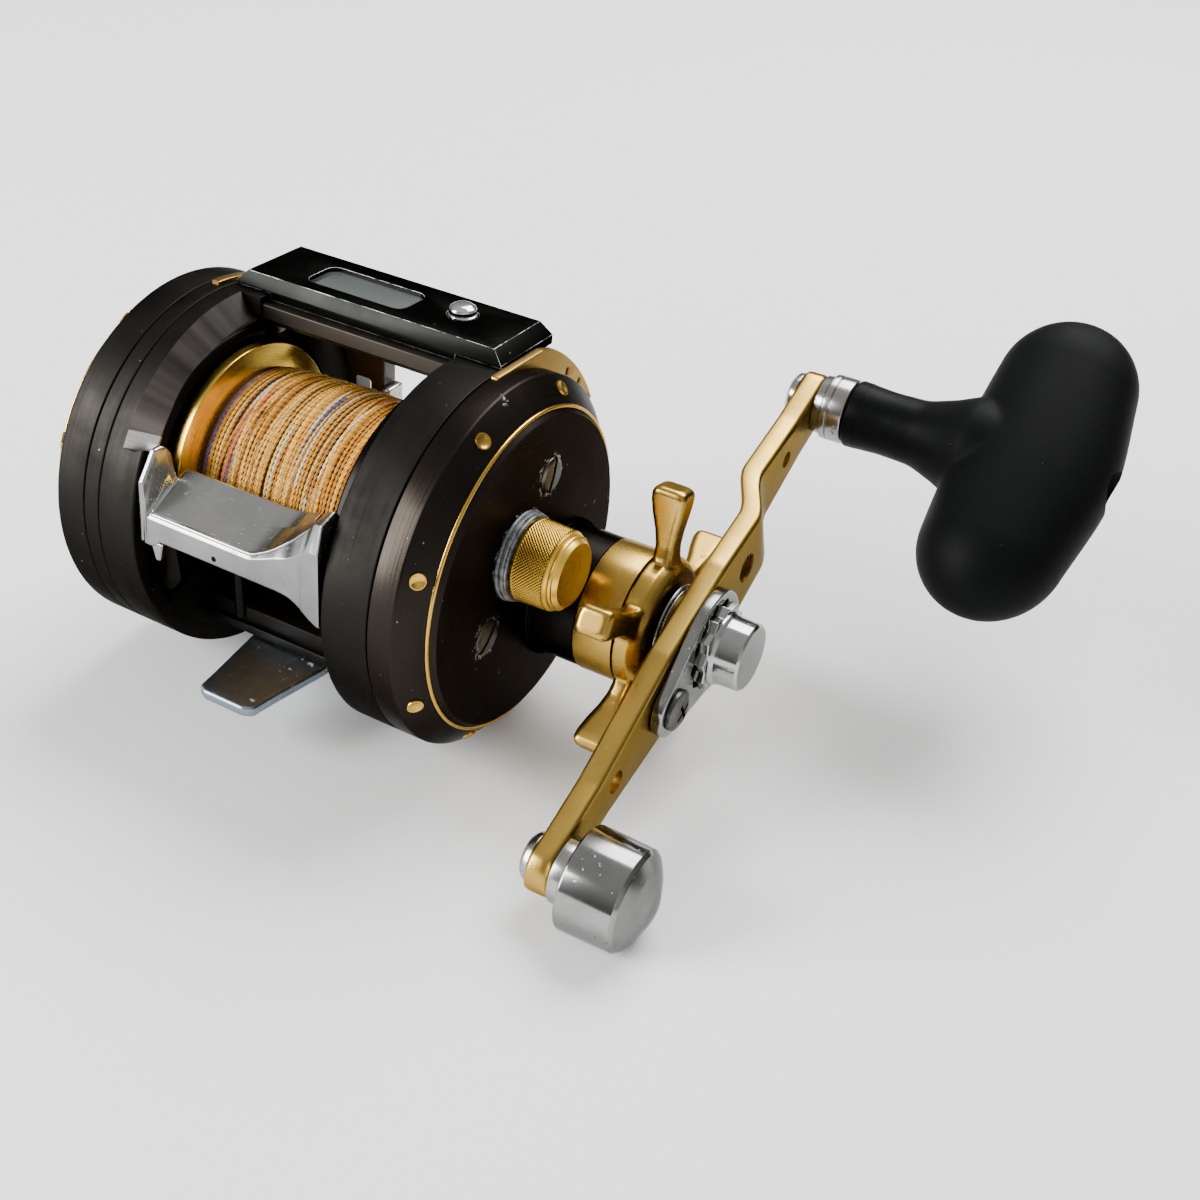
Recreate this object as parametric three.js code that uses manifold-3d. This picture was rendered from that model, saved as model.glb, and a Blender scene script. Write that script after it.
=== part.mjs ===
// Baitcasting reel with a line counter, in millimetres. X runs along the spool axis with the
// handle at +X, Y points to the line exit, Z is up, and Z = 0 is the bottom face of the foot.
import * as THREE from "three";
import Module from "manifold-3d";
import { mergeVertices } from "three/addons/utils/BufferGeometryUtils.js";

const wasm = await Module();
wasm.setup();

// Driving dimensions
const PLATE = [0, 20]; // centre of the round side plates, as (y, z)
const PLATE_R = 26;
const SPOOL = [-2.9, 24.1]; // spool axis
const HANDLE = [8.62, 13.29]; // main gear and handle axis
const WORM = [18.5, 19.5]; // level-wind screw axis
const ROD = [17.5, 35.0]; // level-wind guide rod
const FLANGE_R = 16.15;
const BORE_R = 16.4; // opening in the frame round the spool flange
const LIP_R = 18.2; // outside of the lip round that opening
const THUMB_TRAVEL = 4; // how far the thumb bar presses down
const ARM_ANGLE = THREE.MathUtils.degToRad(22.62);
const ARM_FRONT = 52.1;
const ARM_THICK = 3.24;
const ARM_BEND = 3.43;
const KNOB_S = 45.6; // knob axis along the handle arm
const WEIGHT_S = -37.55; // counterweight axis along the handle arm
const MODULE = 0.4453; // main gear pair: 59 and 12 teeth on 15.80 mm centres
const WIND_MODULE = 0.4488; // level-wind pair: 32 and 20 teeth on 11.67 mm centres
const SHAFT_R = 1.5;
const DRIVE_R = 3;

const rad = THREE.MathUtils.degToRad;
const AXES = {
  yz: new THREE.Matrix4().makeBasis(
    new THREE.Vector3(0, 1, 0), new THREE.Vector3(0, 0, 1), new THREE.Vector3(1, 0, 0)),
  xz: new THREE.Matrix4().makeBasis(
    new THREE.Vector3(1, 0, 0), new THREE.Vector3(0, 0, 1), new THREE.Vector3(0, -1, 0)),
  xy: new THREE.Matrix4(),
};

// A closed solid from any geometry, with its faces turned outwards.
function solid(geometry) {
  const g = geometry.index ? geometry.toNonIndexed() : geometry.clone();
  g.deleteAttribute("normal");
  g.deleteAttribute("uv");
  const merged = mergeVertices(g, 1e-4);
  const p = merged.attributes.position.array;
  const index = merged.index.array;
  const kept = [];
  let volume = 0;
  const [a, b, c] = [new THREE.Vector3(), new THREE.Vector3(), new THREE.Vector3()];
  for (let i = 0; i < index.length; i += 3) {
    const [i0, i1, i2] = [index[i], index[i + 1], index[i + 2]];
    if (i0 === i1 || i1 === i2 || i0 === i2) continue;
    kept.push(i0, i1, i2);
    a.fromArray(p, 3 * i0);
    b.fromArray(p, 3 * i1);
    c.fromArray(p, 3 * i2);
    volume += a.dot(b.cross(c)) / 6;
  }
  if (volume < 0) {
    for (let i = 0; i < kept.length; i += 3) [kept[i + 1], kept[i + 2]] = [kept[i + 2], kept[i + 1]];
  }
  return new wasm.Manifold(
    new wasm.Mesh({ numProp: 3, vertProperties: p, triVerts: new Uint32Array(kept) }));
}

// A solid of revolution about an axis along X; the profile is a closed list of (x, radius).
function turned(profile, at = PLATE, segments = 32) {
  const points = [...profile, profile[0]].map(([x, r]) => new THREE.Vector2(Math.max(r, 0), x));
  const g = new THREE.LatheGeometry(points, segments);
  g.rotateZ(-Math.PI / 2);
  g.translate(0, at[0], at[1]);
  return solid(g);
}
const disc = (x0, x1, r, at, segments) =>
  turned([[x0, 0], [x0, r], [x1, r], [x1, 0]], at, segments);
const ring = (x0, x1, r0, r1, at, segments) =>
  turned([[x0, r0], [x0, r1], [x1, r1], [x1, r0]], at, segments);

// A prism: a flat outline in one pair of axes, run along the third from a to b.
function prism(axes, outline, a, b) {
  const shape = new THREE.Shape(outline.map(([u, v]) => new THREE.Vector2(u, v)));
  const g = new THREE.ExtrudeGeometry(shape, { depth: b - a, bevelEnabled: false });
  g.translate(0, 0, axes === "xz" ? -b : a);
  g.applyMatrix4(AXES[axes]);
  return solid(g);
}
const block = (x0, x1, y0, y1, z0, z1) =>
  prism("xy", [[x0, y0], [x1, y0], [x1, y1], [x0, y1]], z0, z1);
const arc = (cy, cz, r, a0, a1, n) =>
  Array.from({ length: n + 1 }, (_, i) => {
    const t = rad(a0 + ((a1 - a0) * i) / n);
    return [cy + r * Math.cos(t), cz + r * Math.sin(t)];
  });
const wedge = (a0, a1, x0, x1) =>
  prism("yz", [PLATE, ...arc(...PLATE, 60, a0, a1, Math.ceil((a1 - a0) / 20))], x0, x1);

// A skin over matching outlines: each section is a list of [x, y, z] round one cross-section.
// The flat outline gives the caps' triangles and the direction the points run.
function skin(outline, sections) {
  const flat = outline.map(([u, v]) => new THREE.Vector2(u, v));
  if (THREE.ShapeUtils.isClockWise(flat)) {
    flat.reverse();
    sections = sections.map((pts) => pts.toReversed());
  }
  const n = flat.length;
  const faces = [];
  for (let k = 0; k + 1 < sections.length; k++) {
    for (let i = 0; i < n; i++) {
      const j = (i + 1) % n;
      const [a, b, c, d] = [k * n + i, k * n + j, (k + 1) * n + j, (k + 1) * n + i];
      faces.push(a, b, c, a, c, d);
    }
  }
  const last = (sections.length - 1) * n;
  for (const [a, b, c] of THREE.ShapeUtils.triangulateShape(flat, [])) {
    faces.push(a, c, b, last + a, last + b, last + c);
  }
  const g = new THREE.BufferGeometry();
  g.setAttribute("position", new THREE.Float32BufferAttribute(sections.flat(2), 3));
  g.setIndex(faces);
  return solid(g);
}
const loft = (sections) =>
  skin(sections[0][1], sections.map(([x, pts]) => pts.map(([y, z]) => [x, y, z])));

// A spur gear about an axis along X, with straight-sided teeth and running clearance.
function gear(teeth, mod, x0, x1, at, bore, phase = 0) {
  const pitch = (teeth * mod) / 2;
  const outline = [];
  for (let i = 0; i < teeth; i++) {
    const t = phase + (2 * Math.PI * i) / teeth;
    const step = Math.PI / teeth;
    for (const [r, k] of [[pitch - 1.2 * mod, -0.78], [pitch + 0.8 * mod, -0.26],
      [pitch + 0.8 * mod, 0.26], [pitch - 1.2 * mod, 0.78]]) {
      outline.push([at[0] + r * Math.cos(t + k * step), at[1] + r * Math.sin(t + k * step)]);
    }
  }
  return prism("yz", outline, x0, x1).subtract(disc(x0 - 1, x1 + 1, bore, at, 16));
}
const union = (...parts) => parts.reduce((a, b) => a.add(b));
const cut = (body, ...tools) => tools.reduce((a, b) => a.subtract(b), body);

// Points of the handle arm: s along it from the handle axis, n across it.
const onArm = (s, n = 0) => [
  HANDLE[0] + s * Math.cos(ARM_ANGLE) - n * Math.sin(ARM_ANGLE),
  HANDLE[1] + s * Math.sin(ARM_ANGLE) + n * Math.cos(ARM_ANGLE),
];
const KNOB = onArm(KNOB_S);
const WEIGHT = onArm(WEIGHT_S);

const reel = new THREE.Group();
reel.name = "baitcasting_reel";
const FINISH = {
  black: { color: 0x1b1815, metalness: 0.8, roughness: 0.35 },
  gold: { color: 0xc8913a, metalness: 1, roughness: 0.3 },
  chrome: { color: 0xd8d8dc, metalness: 1, roughness: 0.12 },
  steel: { color: 0xa9abb0, metalness: 1, roughness: 0.35 },
  brass: { color: 0xb99a4a, metalness: 1, roughness: 0.4 },
  plastic: { color: 0x151515, metalness: 0, roughness: 0.55 },
  white: { color: 0xe8e6e0, metalness: 0, roughness: 0.5 },
  glass: { color: 0xc9d2c4, metalness: 0, roughness: 0.1 },
  line: { color: 0xc98a4c, metalness: 0, roughness: 0.8 },
};
function add(name, finish, body) {
  const m = body.getMesh();
  const n = m.numProp;
  const v = new Float32Array(m.numVert * 3);
  for (let i = 0; i < m.numVert; i++) v.set(m.vertProperties.subarray(i * n, i * n + 3), 3 * i);
  const g = new THREE.BufferGeometry();
  g.setAttribute("position", new THREE.BufferAttribute(v, 3));
  g.setIndex(new THREE.BufferAttribute(m.triVerts, 1));
  const flat = g.toNonIndexed();
  flat.computeVertexNormals();
  const mesh = new THREE.Mesh(flat, new THREE.MeshStandardMaterial(FINISH[finish]));
  mesh.name = name;
  reel.add(mesh);
}

// Frame: two bored rings joined by the top beam, the bottom plate and its front step.
const frameLeft = union(
  disc(-21, -17, PLATE_R, PLATE, 40),
  ring(-17.2, -15.2, 23.4, PLATE_R, PLATE, 40),
  ring(-17.2, -15.2, BORE_R - 0.5, LIP_R, SPOOL, 40),
  ring(-17.2, -15.2, 15, PLATE_R, PLATE, 40).intersect(wedge(212, 328, -18, -15)),
);
const frameRight = union(
  disc(17, 22.1, PLATE_R, PLATE, 40),
  ring(15.3, 17.2, 23.4, PLATE_R, PLATE, 40),
  turned([[12.3, BORE_R - 0.5], [12.3, LIP_R - 0.7], [12.9, LIP_R], [17.2, LIP_R],
    [17.2, BORE_R - 0.5]], SPOOL, 40),
  ring(15.3, 17.2, 15, PLATE_R, PLATE, 40).intersect(wedge(212, 328, 15, 18)),
);
const bevelLeft = turned([[-18.5, 26.3], [-16.7, 23.2], [-15, 23.2], [-15, 26.3]], PLATE, 40)
  .intersect(wedge(92, 147, -20, -14));
const bevelRight = turned([[17.4, 26.3], [15.5, 23.2], [15, 23.2], [15, 26.3]], PLATE, 40)
  .intersect(wedge(92, 147, 14, 20));
const beams = union(
  block(-17.5, 17.5, 1.2, 8.2, 41.5, 44.9),
  block(-17.5, 17.5, -12.5, 12.5, 3.1, 5.8),
  block(-17.5, 17.5, -13.2, 13.2, 1.9, 3.2),
);
add("frame", "black", cut(
  union(cut(frameLeft, bevelLeft), cut(frameRight, bevelRight), beams),
  disc(-22, -15, BORE_R, SPOOL, 40),
  disc(12, 19, BORE_R, SPOOL, 40),
  disc(18, 23, 4.05, SPOOL, 20),
  disc(18, 23, DRIVE_R + 0.08, HANDLE, 16),
  disc(-22, -14, 2.3, WORM, 16),
  disc(14, 23, 2.3, WORM, 16),
  disc(-19, -14, 1.15, ROD, 12),
  disc(14, 19, 1.15, ROD, 12),
  disc(18, 23, 1.3, [3.8, 33], 12),
  disc(18, 23, 1.3, [-10.2, 15.2], 12),
  ...[-9, 9].map((y) => prism("xy", arc(-0.9, y, 1.3, 0, 337.5, 15), 1, 4.9)),
));

// Counter brackets: flat gold plates that rise from the joint of each side to the counter.
const bracketFoot = arc(...PLATE, 22, 90, 29, 14);
const bracketHoles = [[17.4, 40.7], [20.8, 37.9], [23.6, 34.4]];
add("right_bracket", "gold", cut(
  prism("yz", [...arc(...PLATE, 28.8, 29, 62, 8), [10.6, 46.3], [-0.3, 46.4], ...bracketFoot], 22.4, 23.5),
  ...bracketHoles.map((at) => disc(22, 24, 0.5, at, 10))));
add("left_bracket", "gold",
  prism("yz", [...arc(...PLATE, 26.3, 29, 89, 14), ...bracketFoot], -23.3, -21.5));
const bracketRoom = (x0, x1) => wedge(27.5, 94.5, x0, x1);
add("left_spacer_ring", "black",
  cut(ring(-23.5, -21.3, 21.5, PLATE_R, PLATE, 40), bracketRoom(-25, -20)));

// Side covers: a straight band, a conical shoulder and a flat face, hollow inside.
const cover = (sign, band0, band1) => turned(
  [[band0, 24.8], [band0, PLATE_R], [band1, PLATE_R], [band1 + 2.85, 22.85],
    [band1 + 2.85, 21.6], [band1 + 3.8, 21.6], [band1 + 3.8, 0], [band1 + 2.3, 0],
    [band1 + 2.3, 21.8], [band1 - 0.3, 24.8]].map(([x, r]) => [sign * x, r]), PLATE, 40);
const trim = (sign, band1) => ring(sign * (band1 + 2.93), sign * (band1 + 3.8), 21.68, 22.6, PLATE, 40);
add("right_cover", "black", cut(
  union(cover(1, 22.5, 25.9), ring(28, 35.2, 3.45, 4.3, SPOOL, 20)),
  disc(27, 36, 3.45, SPOOL, 20),
  disc(27, 31, 6.2, HANDLE, 20),
  bracketRoom(22, 23.8),
  ...[[3.8, 33], [-10.2, 15.2]].flatMap((at) => [disc(27, 31, 1.3, at, 12), disc(29, 31, 2.75, at, 16)]),
));
add("left_cover", "black", union(cover(-1, 23.8, 28.3),
  ring(-31, -26.4, 4.05, 5.4, SPOOL, 20)));
add("right_trim_ring", "gold", trim(1, 25.9));
add("left_trim_ring", "gold", trim(-1, 28.3));
for (const [name, at, turn] of [["upper", [3.8, 33], 0.5], ["lower", [-10.2, 15.2], 1.2]]) {
  const slot = block(29.4, 31, -4, 4, -0.3, 0.3).rotate([THREE.MathUtils.radToDeg(turn), 0, 0])
    .translate([0, at[0], at[1]]);
  add("face_screw_" + name, "brass",
    cut(union(disc(29.1, 29.95, 2.55, at, 16), disc(19.6, 29.2, 1.15, at, 10)), slot));
}

// Line counter: a bevelled box with a window recess, display, board, battery and one button.
const boxTop = [[-19.3, 3.55], [20.4, 3.55], [20.4, 14.77], [-19.3, 14.77]];
const boxSkirt = [[-20.9, 2.8], [22, 2.8], [22, 15.5], [-20.9, 15.5]];
function boxLid() {
  const verts = [...boxSkirt.map(([x, y]) => [x, y, 46.4]), ...boxTop.map(([x, y]) => [x, y, 48.1])];
  const quads = [[0, 3, 2, 1], [4, 5, 6, 7], [0, 1, 5, 4], [1, 2, 6, 5], [2, 3, 7, 6], [3, 0, 4, 7]];
  const g = new THREE.BufferGeometry();
  g.setAttribute("position", new THREE.Float32BufferAttribute(verts.flat(), 3));
  g.setIndex(quads.flatMap(([a, b, c, d]) => [a, b, c, a, c, d]));
  return solid(g);
}
function softBlock(x0, x1, y0, y1, z0, z1, r = 1.6) {
  return prism("xy", [
    ...arc(x1 - r, y0 + r, r, -90, 0, 5), ...arc(x1 - r, y1 - r, r, 0, 90, 5),
    ...arc(x0 + r, y1 - r, r, 90, 180, 5), ...arc(x0 + r, y0 + r, r, 180, 270, 5)], z0, z1);
}
add("counter_housing", "black", cut(
  union(boxLid(), block(-20.9, 22, 2.8, 15.5, 45.1, 46.5)),
  block(-16.5, 16.5, 4.2, 14.2, 45, 46.4),
  softBlock(-11.5, 4.5, 5.7, 12.1, 46, 49),
  prism("xy", arc(11.35, 9.94, 1.7, 0, 345, 23), 46, 49),
  disc(-21.5, -14.9, PLATE_R + 0.25, PLATE, 40),
  disc(14.9, 24, PLATE_R + 0.25, PLATE, 40),
  prism("yz", [[-3, 45], [11, 45], [11, 46.6], [-3, 46.6]], -23.6, -21.2),
  prism("yz", [[-3, 45], [11, 45], [11, 46.6], [-3, 46.6]], 22.2, 23.8),
));
add("counter_window", "glass", softBlock(-11.3, 4.3, 5.9, 11.9, 46.9, 47.7, 1.4));
add("counter_board", "plastic", block(-16, 8, 4.6, 13.8, 46.0, 46.3).add(
  softBlock(-10, 3, 7, 11, 46.2, 46.8)));
add("counter_battery", "steel", prism("xy", arc(-4, 9.6, 3.4, 0, 345, 23), 45.2, 45.8));
add("counter_button", "chrome", union(
  turnedUp([[45.6, 0], [45.6, 2.4], [46.2, 2.4], [46.2, 1.62], [48.9, 1.62], [49.6, 1.1], [49.8, 0]],
    [11.35, 9.94], 16)));

// The same as turned(), about an axis along Z at (x, y); the profile is a list of (z, radius).
function turnedUp(profile, at, segments) {
  const points = [...profile, profile[0]].map(([z, r]) => new THREE.Vector2(r, z));
  const g = new THREE.LatheGeometry(points, segments);
  g.rotateX(Math.PI / 2);
  g.translate(at[0], at[1], 0);
  return solid(g);
}

// Foot: a flat plate, wider under the reel, that fits a rod's reel seat.
const footHalf = [[-26.6, 3.6], [-25.6, 4.7], [-22, 5.1], [-13, 6.55], [13, 6.55], [22, 5.1],
  [26.4, 4.7], [27.4, 3.6]];
add("reel_foot", "chrome", cut(
  prism("xy", [...footHalf.map(([y, w]) => [-0.9 + w, y]),
    ...footHalf.toReversed().map(([y, w]) => [-0.9 - w, y])], 0, 1.6),
  ...[-9, 9].flatMap((y) => [prism("xy", arc(-0.9, y, 1.3, 0, 337.5, 15), -1, 3),
    prism("xy", arc(-0.9, y, 2.5, 0, 345, 23), -1, 0.9)]),
));
for (const [name, y] of [["front", -9], ["rear", 9]]) {
  add("foot_screw_" + name, "steel", cut(
    turnedUp([[0.1, 0], [0.1, 2.4], [0.8, 2.4], [0.8, 1.15], [4.7, 1.15], [4.7, 0]], [-0.9, y], 16),
    block(-3.5, 1.7, y - 0.3, y + 0.3, -1, 0.45)));
}

// Spool, its wound line, shaft, bearings and centrifugal brake.
add("spool", "gold", turned([
  [-15, FLANGE_R], [-13.6, FLANGE_R], [-12.75, 13], [-12.1, 8], [9.9, 8], [10.8, 14], [11.8, FLANGE_R],
  [14.6, FLANGE_R], [14.6, 14.6], [12.6, 12.6], [12.1, 5], [14.6, 4], [14.6, 1.56], [-16, 1.56],
  [-16, 4], [-13.6, 5], [-14.1, 12.6], [-15, 14.6]], SPOOL, 40));
add("line_pack", "line", turned([
  [-11.9, 8.15], [-12.55, 13.1], [-6, 13.4], [1, 13.7], [6, 13.5], [10.4, 13.4], [9.7, 8.15]],
SPOOL, 32));
add("spool_shaft", "steel", disc(-29.4, 35.2, SHAFT_R, SPOOL, 16));
add("spool_bearing_left", "steel", ring(-29.2, -27.0, SHAFT_R + 0.06, 3.98, SPOOL, 20));
add("spool_bearing_middle", "steel", ring(19.3, 21.9, SHAFT_R + 0.06, 3.98, SPOOL, 20));
add("spool_bearing_right", "steel", ring(30.2, 32.4, SHAFT_R + 0.06, 3.38, SPOOL, 20));
add("brake_hub", "white", union(ring(-24, -19.6, SHAFT_R + 0.06, 3.6, SPOOL, 16),
  ...[0, 60, 120].map((t) => cut(
    block(-22.6, -20.6, -7.6, 7.6, -0.9, 0.9).rotate([t, 0, 0]).translate([0, ...SPOOL]),
    disc(-25, -19, 2, SPOOL, 16)))));
add("brake_drum", "brass", turned([[-26.2, 2.6], [-26.2, 9.6], [-18.6, 9.6], [-18.6, 8.6],
  [-25.3, 8.6], [-25.3, 2.6]], SPOOL, 20));

// Gear train: main gear and pinion, ratchet, drag discs and the level-wind pair.
const towardsSpool = Math.atan2(SPOOL[1] - HANDLE[1], SPOOL[0] - HANDLE[0]);
const towardsWorm = Math.atan2(WORM[1] - HANDLE[1], WORM[0] - HANDLE[0]);
add("drive_gear", "brass", cut(
  gear(59, MODULE, 23.8, 25.8, HANDLE, DRIVE_R + 0.06, towardsSpool),
  disc(24.7, 26, 9.4, HANDLE, 20)));
add("drag_washers", "plastic", ring(24.8, 25.9, DRIVE_R + 0.06, 9.2, HANDLE, 20));
add("pinion_gear", "brass", cut(union(
  gear(12, MODULE, 23, 26.5, SPOOL, SHAFT_R + 0.08, towardsSpool + Math.PI + Math.PI / 12),
  disc(26.4, 27.3, 2, SPOOL, 16), disc(27.2, 27.8, 3.1, SPOOL, 16)),
disc(22, 29, SHAFT_R + 0.08, SPOOL, 16)));
add("clutch_yoke", "steel", cut(block(26.6, 27.1, -9, 0.2, 20.6, 27.6),
  disc(26, 28, 2.1, SPOOL, 16), block(26, 28, SPOOL[0], 1, SPOOL[1] - 2.1, SPOOL[1] + 2.1)));
add("ratchet", "steel", gear(16, 1.05, 26.2, 27.0, HANDLE, DRIVE_R + 0.06));
add("wind_drive_gear", "white",
  gear(32, WIND_MODULE, 22.5, 23.5, HANDLE, DRIVE_R + 0.06, towardsWorm));
add("worm_gear", "white",
  gear(20, WIND_MODULE, 22.5, 23.5, WORM, 1.5, towardsWorm + Math.PI + Math.PI / 20));
add("drive_shaft", "steel", turned([[19.4, 0], [19.4, DRIVE_R], [47.2, DRIVE_R], [47.2, 2.6],
  [57.6, 2.6], [57.6, 0]], HANDLE, 16));
add("roller_sleeve", "steel", ring(27.3, 37.0, DRIVE_R + 0.06, 4.0, HANDLE, 16));
add("anti_reverse_bearing", "steel", ring(28.6, 36.9, 4.08, 6.1, HANDLE, 20));
add("bearing_housing", "black", cut(turned([[29.78, 6.16], [29.78, 9.95], [30.5, 9.95],
  [30.5, 9.35], [37.2, 9.35], [37.2, 6.16]], HANDLE, 32), disc(29, 31.6, 6.5, SPOOL, 32)));

// Drag sleeve, star wheel and the spring washers behind the arm.
add("drag_sleeve", "gold", ring(37.3, 43.15, 4.1, 9.45, HANDLE, 32));
function star() {
  let body = turned([[43.25, 3.08], [43.25, 9.5], [45.5, 9.5], [46.4, 8.9], [47, 8.2], [47, 3.08]],
    HANDLE, 32);
  for (let k = 0; k < 5; k++) {
    const t = rad(80 + 72 * k);
    // (x, r) side profile of one arm, with its width at the neck and at the tip
    const side = [[43.3, 7], [43.3, 10.5], [41.4, 16.5], [41.4, 18.2], [42.7, 19.5], [45, 19.5],
      [46.3, 18.2], [46.3, 16.5], [46.1, 11], [46.4, 8], [46, 7]];
    const wide = (r) => 1.75 + (0.25 * (r - 10.5)) / 9;
    body = body.add(skin(side, [-1, 1].map((sgn) => side.map(([x, r]) => [
      x, HANDLE[0] + r * Math.cos(t) - sgn * wide(r) * Math.sin(t),
      HANDLE[1] + r * Math.sin(t) + sgn * wide(r) * Math.cos(t)]))));
  }
  return body;
}
add("star_drag", "gold", star());
add("spring_washers", "steel", turned([[47.25, 3.2], [47.25, 5.2], [47.8, 5.6], [48.3, 5.2],
  [48.6, 5.2], [48.6, 3.2]], HANDLE, 16));

// Handle arm: an outline across, bent in an S along its length.
const armFront = (s) => {
  const t = Math.min(Math.max((s - 17.5) / 9.03, 0), 1);
  return ARM_FRONT - ARM_BEND * t * t * (3 - 2 * t);
};
const armHalf = (s) => (s > 8 ? 6.5 - 0.087 * (s - 8) : s < -8 ? 6.5 + 0.136 * (s + 8) : 6.5);
function arm() {
  const stations = [-34, -20, -8, 0, 8, 17.5, 26.5, 34, 42.5];
  const upper = stations.map((s) => [s, Math.max(armHalf(s), 3.9)]);
  const end = (s, a0, a1) => arc(s, 0, 4.1, a0, a1, 8);
  const outline = [...end(WEIGHT_S, 250, 110), ...upper, ...end(KNOB_S, 70, -70),
    ...upper.toReversed().map(([s, n]) => [s, -n])];
  const flat = prism("yz", outline.map(([s, n]) => onArm(s, n)), 40, 56);
  const stops = [-50, 17.5, 19, 20.5, 22, 23.5, 25, 26.6, 60];
  const side = [...stops.map((s) => [armFront(s), s]),
    ...stops.toReversed().map((s) => [armFront(s) - ARM_THICK, s])];
  const bent = skin(side, [-12, 12].map((w) => side.map(([x, t]) => [x, ...onArm(t, w)])));
  return cut(flat.intersect(bent),
    disc(40, 56, 2.75, HANDLE, 16), disc(40, 56, 1.75, KNOB, 16), disc(40, 56, 1.75, WEIGHT, 16),
    disc(40, 56, 2.25, onArm(13.36), 16), disc(40, 56, 1.3, onArm(33.46), 14),
    disc(40, 56, 1.6, onArm(-24.1), 14), disc(50.4, 56, 0.85, onArm(-11.3), 10));
}
add("handle_arm", "gold", arm());
const hexagon = (r, at, turn) => Array.from({ length: 6 }, (_, i) => {
  const t = turn + (i * Math.PI) / 3;
  return [at[0] + r * Math.cos(t), at[1] + r * Math.sin(t)];
});
const retainerOutline = [
  ...Array.from({ length: 19 }, (_, i) => {
    const t = rad(-108 + 12 * i);
    return onArm(7.6 * Math.cos(t), 7.6 * Math.sin(t));
  }),
  ...Array.from({ length: 9 }, (_, i) => {
    const t = rad(108 + 18 * i);
    return onArm(-11.3 + 4 * Math.cos(t), 4 * Math.sin(t));
  }),
];
add("nut_retainer", "chrome", cut(prism("yz", retainerOutline, 52.2, 53.8),
  disc(50, 55, 6.35, HANDLE, 24), disc(50, 55, 0.85, onArm(-11.3), 10)));
add("retainer_screw", "steel", cut(union(
  turned([[53.9, 0], [53.9, 2.9], [54.4, 2.7], [55.1, 1.6], [55.3, 0]], onArm(-11.3), 16),
  disc(50.6, 54, 0.75, onArm(-11.3), 10)),
block(54.7, 56, -1.3, 1.3, -0.25, 0.25).translate([0, ...onArm(-11.3)]),
block(54.7, 56, -0.25, 0.25, -1.3, 1.3).translate([0, ...onArm(-11.3)])));
add("handle_nut", "chrome", cut(union(
  prism("yz", hexagon(6.2, HANDLE, 0.2), 52.2, 55.5),
  turned([[55, 0], [55, 4.75], [59, 4.75], [59.3, 4.45], [59.3, 0]], HANDLE, 20)),
disc(51, 58, 2.68, HANDLE, 16)));

// Knob: a T-bar on a flared stem that turns on a spindle riveted through the arm.
function tBar() {
  const profile = [];
  const [half, along, across] = [14.6, 10.4, 8.0];
  for (let i = 0; i <= 6; i++) {
    const t = (i * Math.PI) / 12;
    profile.push([half + along * Math.cos(t), across * Math.sin(t)]);
  }
  const points = [...profile, ...profile.toReversed().map(([s, r]) => [-s, r])];
  points.splice(7, 0, [8, 8.25], [0, 8.4], [-8, 8.25]);
  const g = new THREE.LatheGeometry(points.map(([s, r]) => new THREE.Vector2(r, s)), 16);
  g.scale(1.24, 1, 1); // across X the bar is deeper than it is wide
  const pos = g.attributes.position; // bow the front face out at the middle
  for (let i = 0; i < pos.count; i++) {
    if (pos.getX(i) > 0) pos.setX(i, pos.getX(i) + 1.9 * Math.exp(-((pos.getY(i) / 13) ** 2)) *
      (pos.getX(i) / 10));
  }
  g.rotateX(ARM_ANGLE + 0.15);
  g.translate(80.4, KNOB[0], KNOB[1]);
  return solid(g);
}
add("knob", "plastic", cut(union(tBar(),
  turned([[53.8, 0], [53.8, 4.98], [59, 4.75], [64, 4.9], [67, 5.8], [70, 7.2], [73, 7.6], [76, 7.4],
    [76, 0]], KNOB, 20)),
disc(53, 87, 1.72, KNOB, 12), disc(86.5, 96, 3, KNOB, 16)));
add("knob_screw", "steel", cut(disc(86.7, 88.2, 2.6, KNOB, 16),
  block(87.7, 90, -3, 3, -0.3, 0.3).translate([0, ...KNOB])));
add("knob_collar", "steel", turned([[48.75, 1.75], [48.75, 4.2], [50, 4.3], [50.2, 4.85], [50.9, 4.85],
  [51.2, 4.5], [51.5, 4.85], [53.4, 4.85], [53.6, 4.6], [53.6, 1.75]], KNOB, 20));
add("knob_spindle", "steel", turned([[43.9, 0], [44.1, 3.4], [45.3, 3.6], [45.3, 1.65], [86.2, 1.65],
  [86.2, 0]], KNOB, 16));
add("counterweight_pin", "steel", turned([[47.3, 0], [47.5, 3.2], [48.7, 3.4], [48.7, 1.65],
  [60.6, 1.65], [60.6, 0]], WEIGHT, 16));
add("counterweight_spacer", "steel", ring(52.2, 54.4, 1.75, 4.4, WEIGHT, 16));
add("counterweight", "chrome", cut(turned([[54.5, 0], [54.5, 6.8], [54.7, 6.93], [61.9, 6.77],
  [62.4, 6.3], [63.6, 4.5], [64.6, 2.1], [65, 0]], WEIGHT, 32), disc(53, 61, 1.73, WEIGHT, 16)));

// Cast control cap over the threaded boss, with its collar.
add("cap_collar", "black", turned([[29.78, 4.4], [29.78, 6.2], [31.3, 5.9], [31.3, 4.4]], SPOOL, 32));
add("cast_control_cap", "gold", turned([[31.45, 4.4], [31.45, 5.4], [31.9, 5.75], [36.4, 5.45],
  [36.7, 5.1], [37.3, 5.1], [38, 4.35], [37.8, 4.1], [36.6, 0], [35.4, 0], [35.4, 4.4]], SPOOL, 32));

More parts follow.
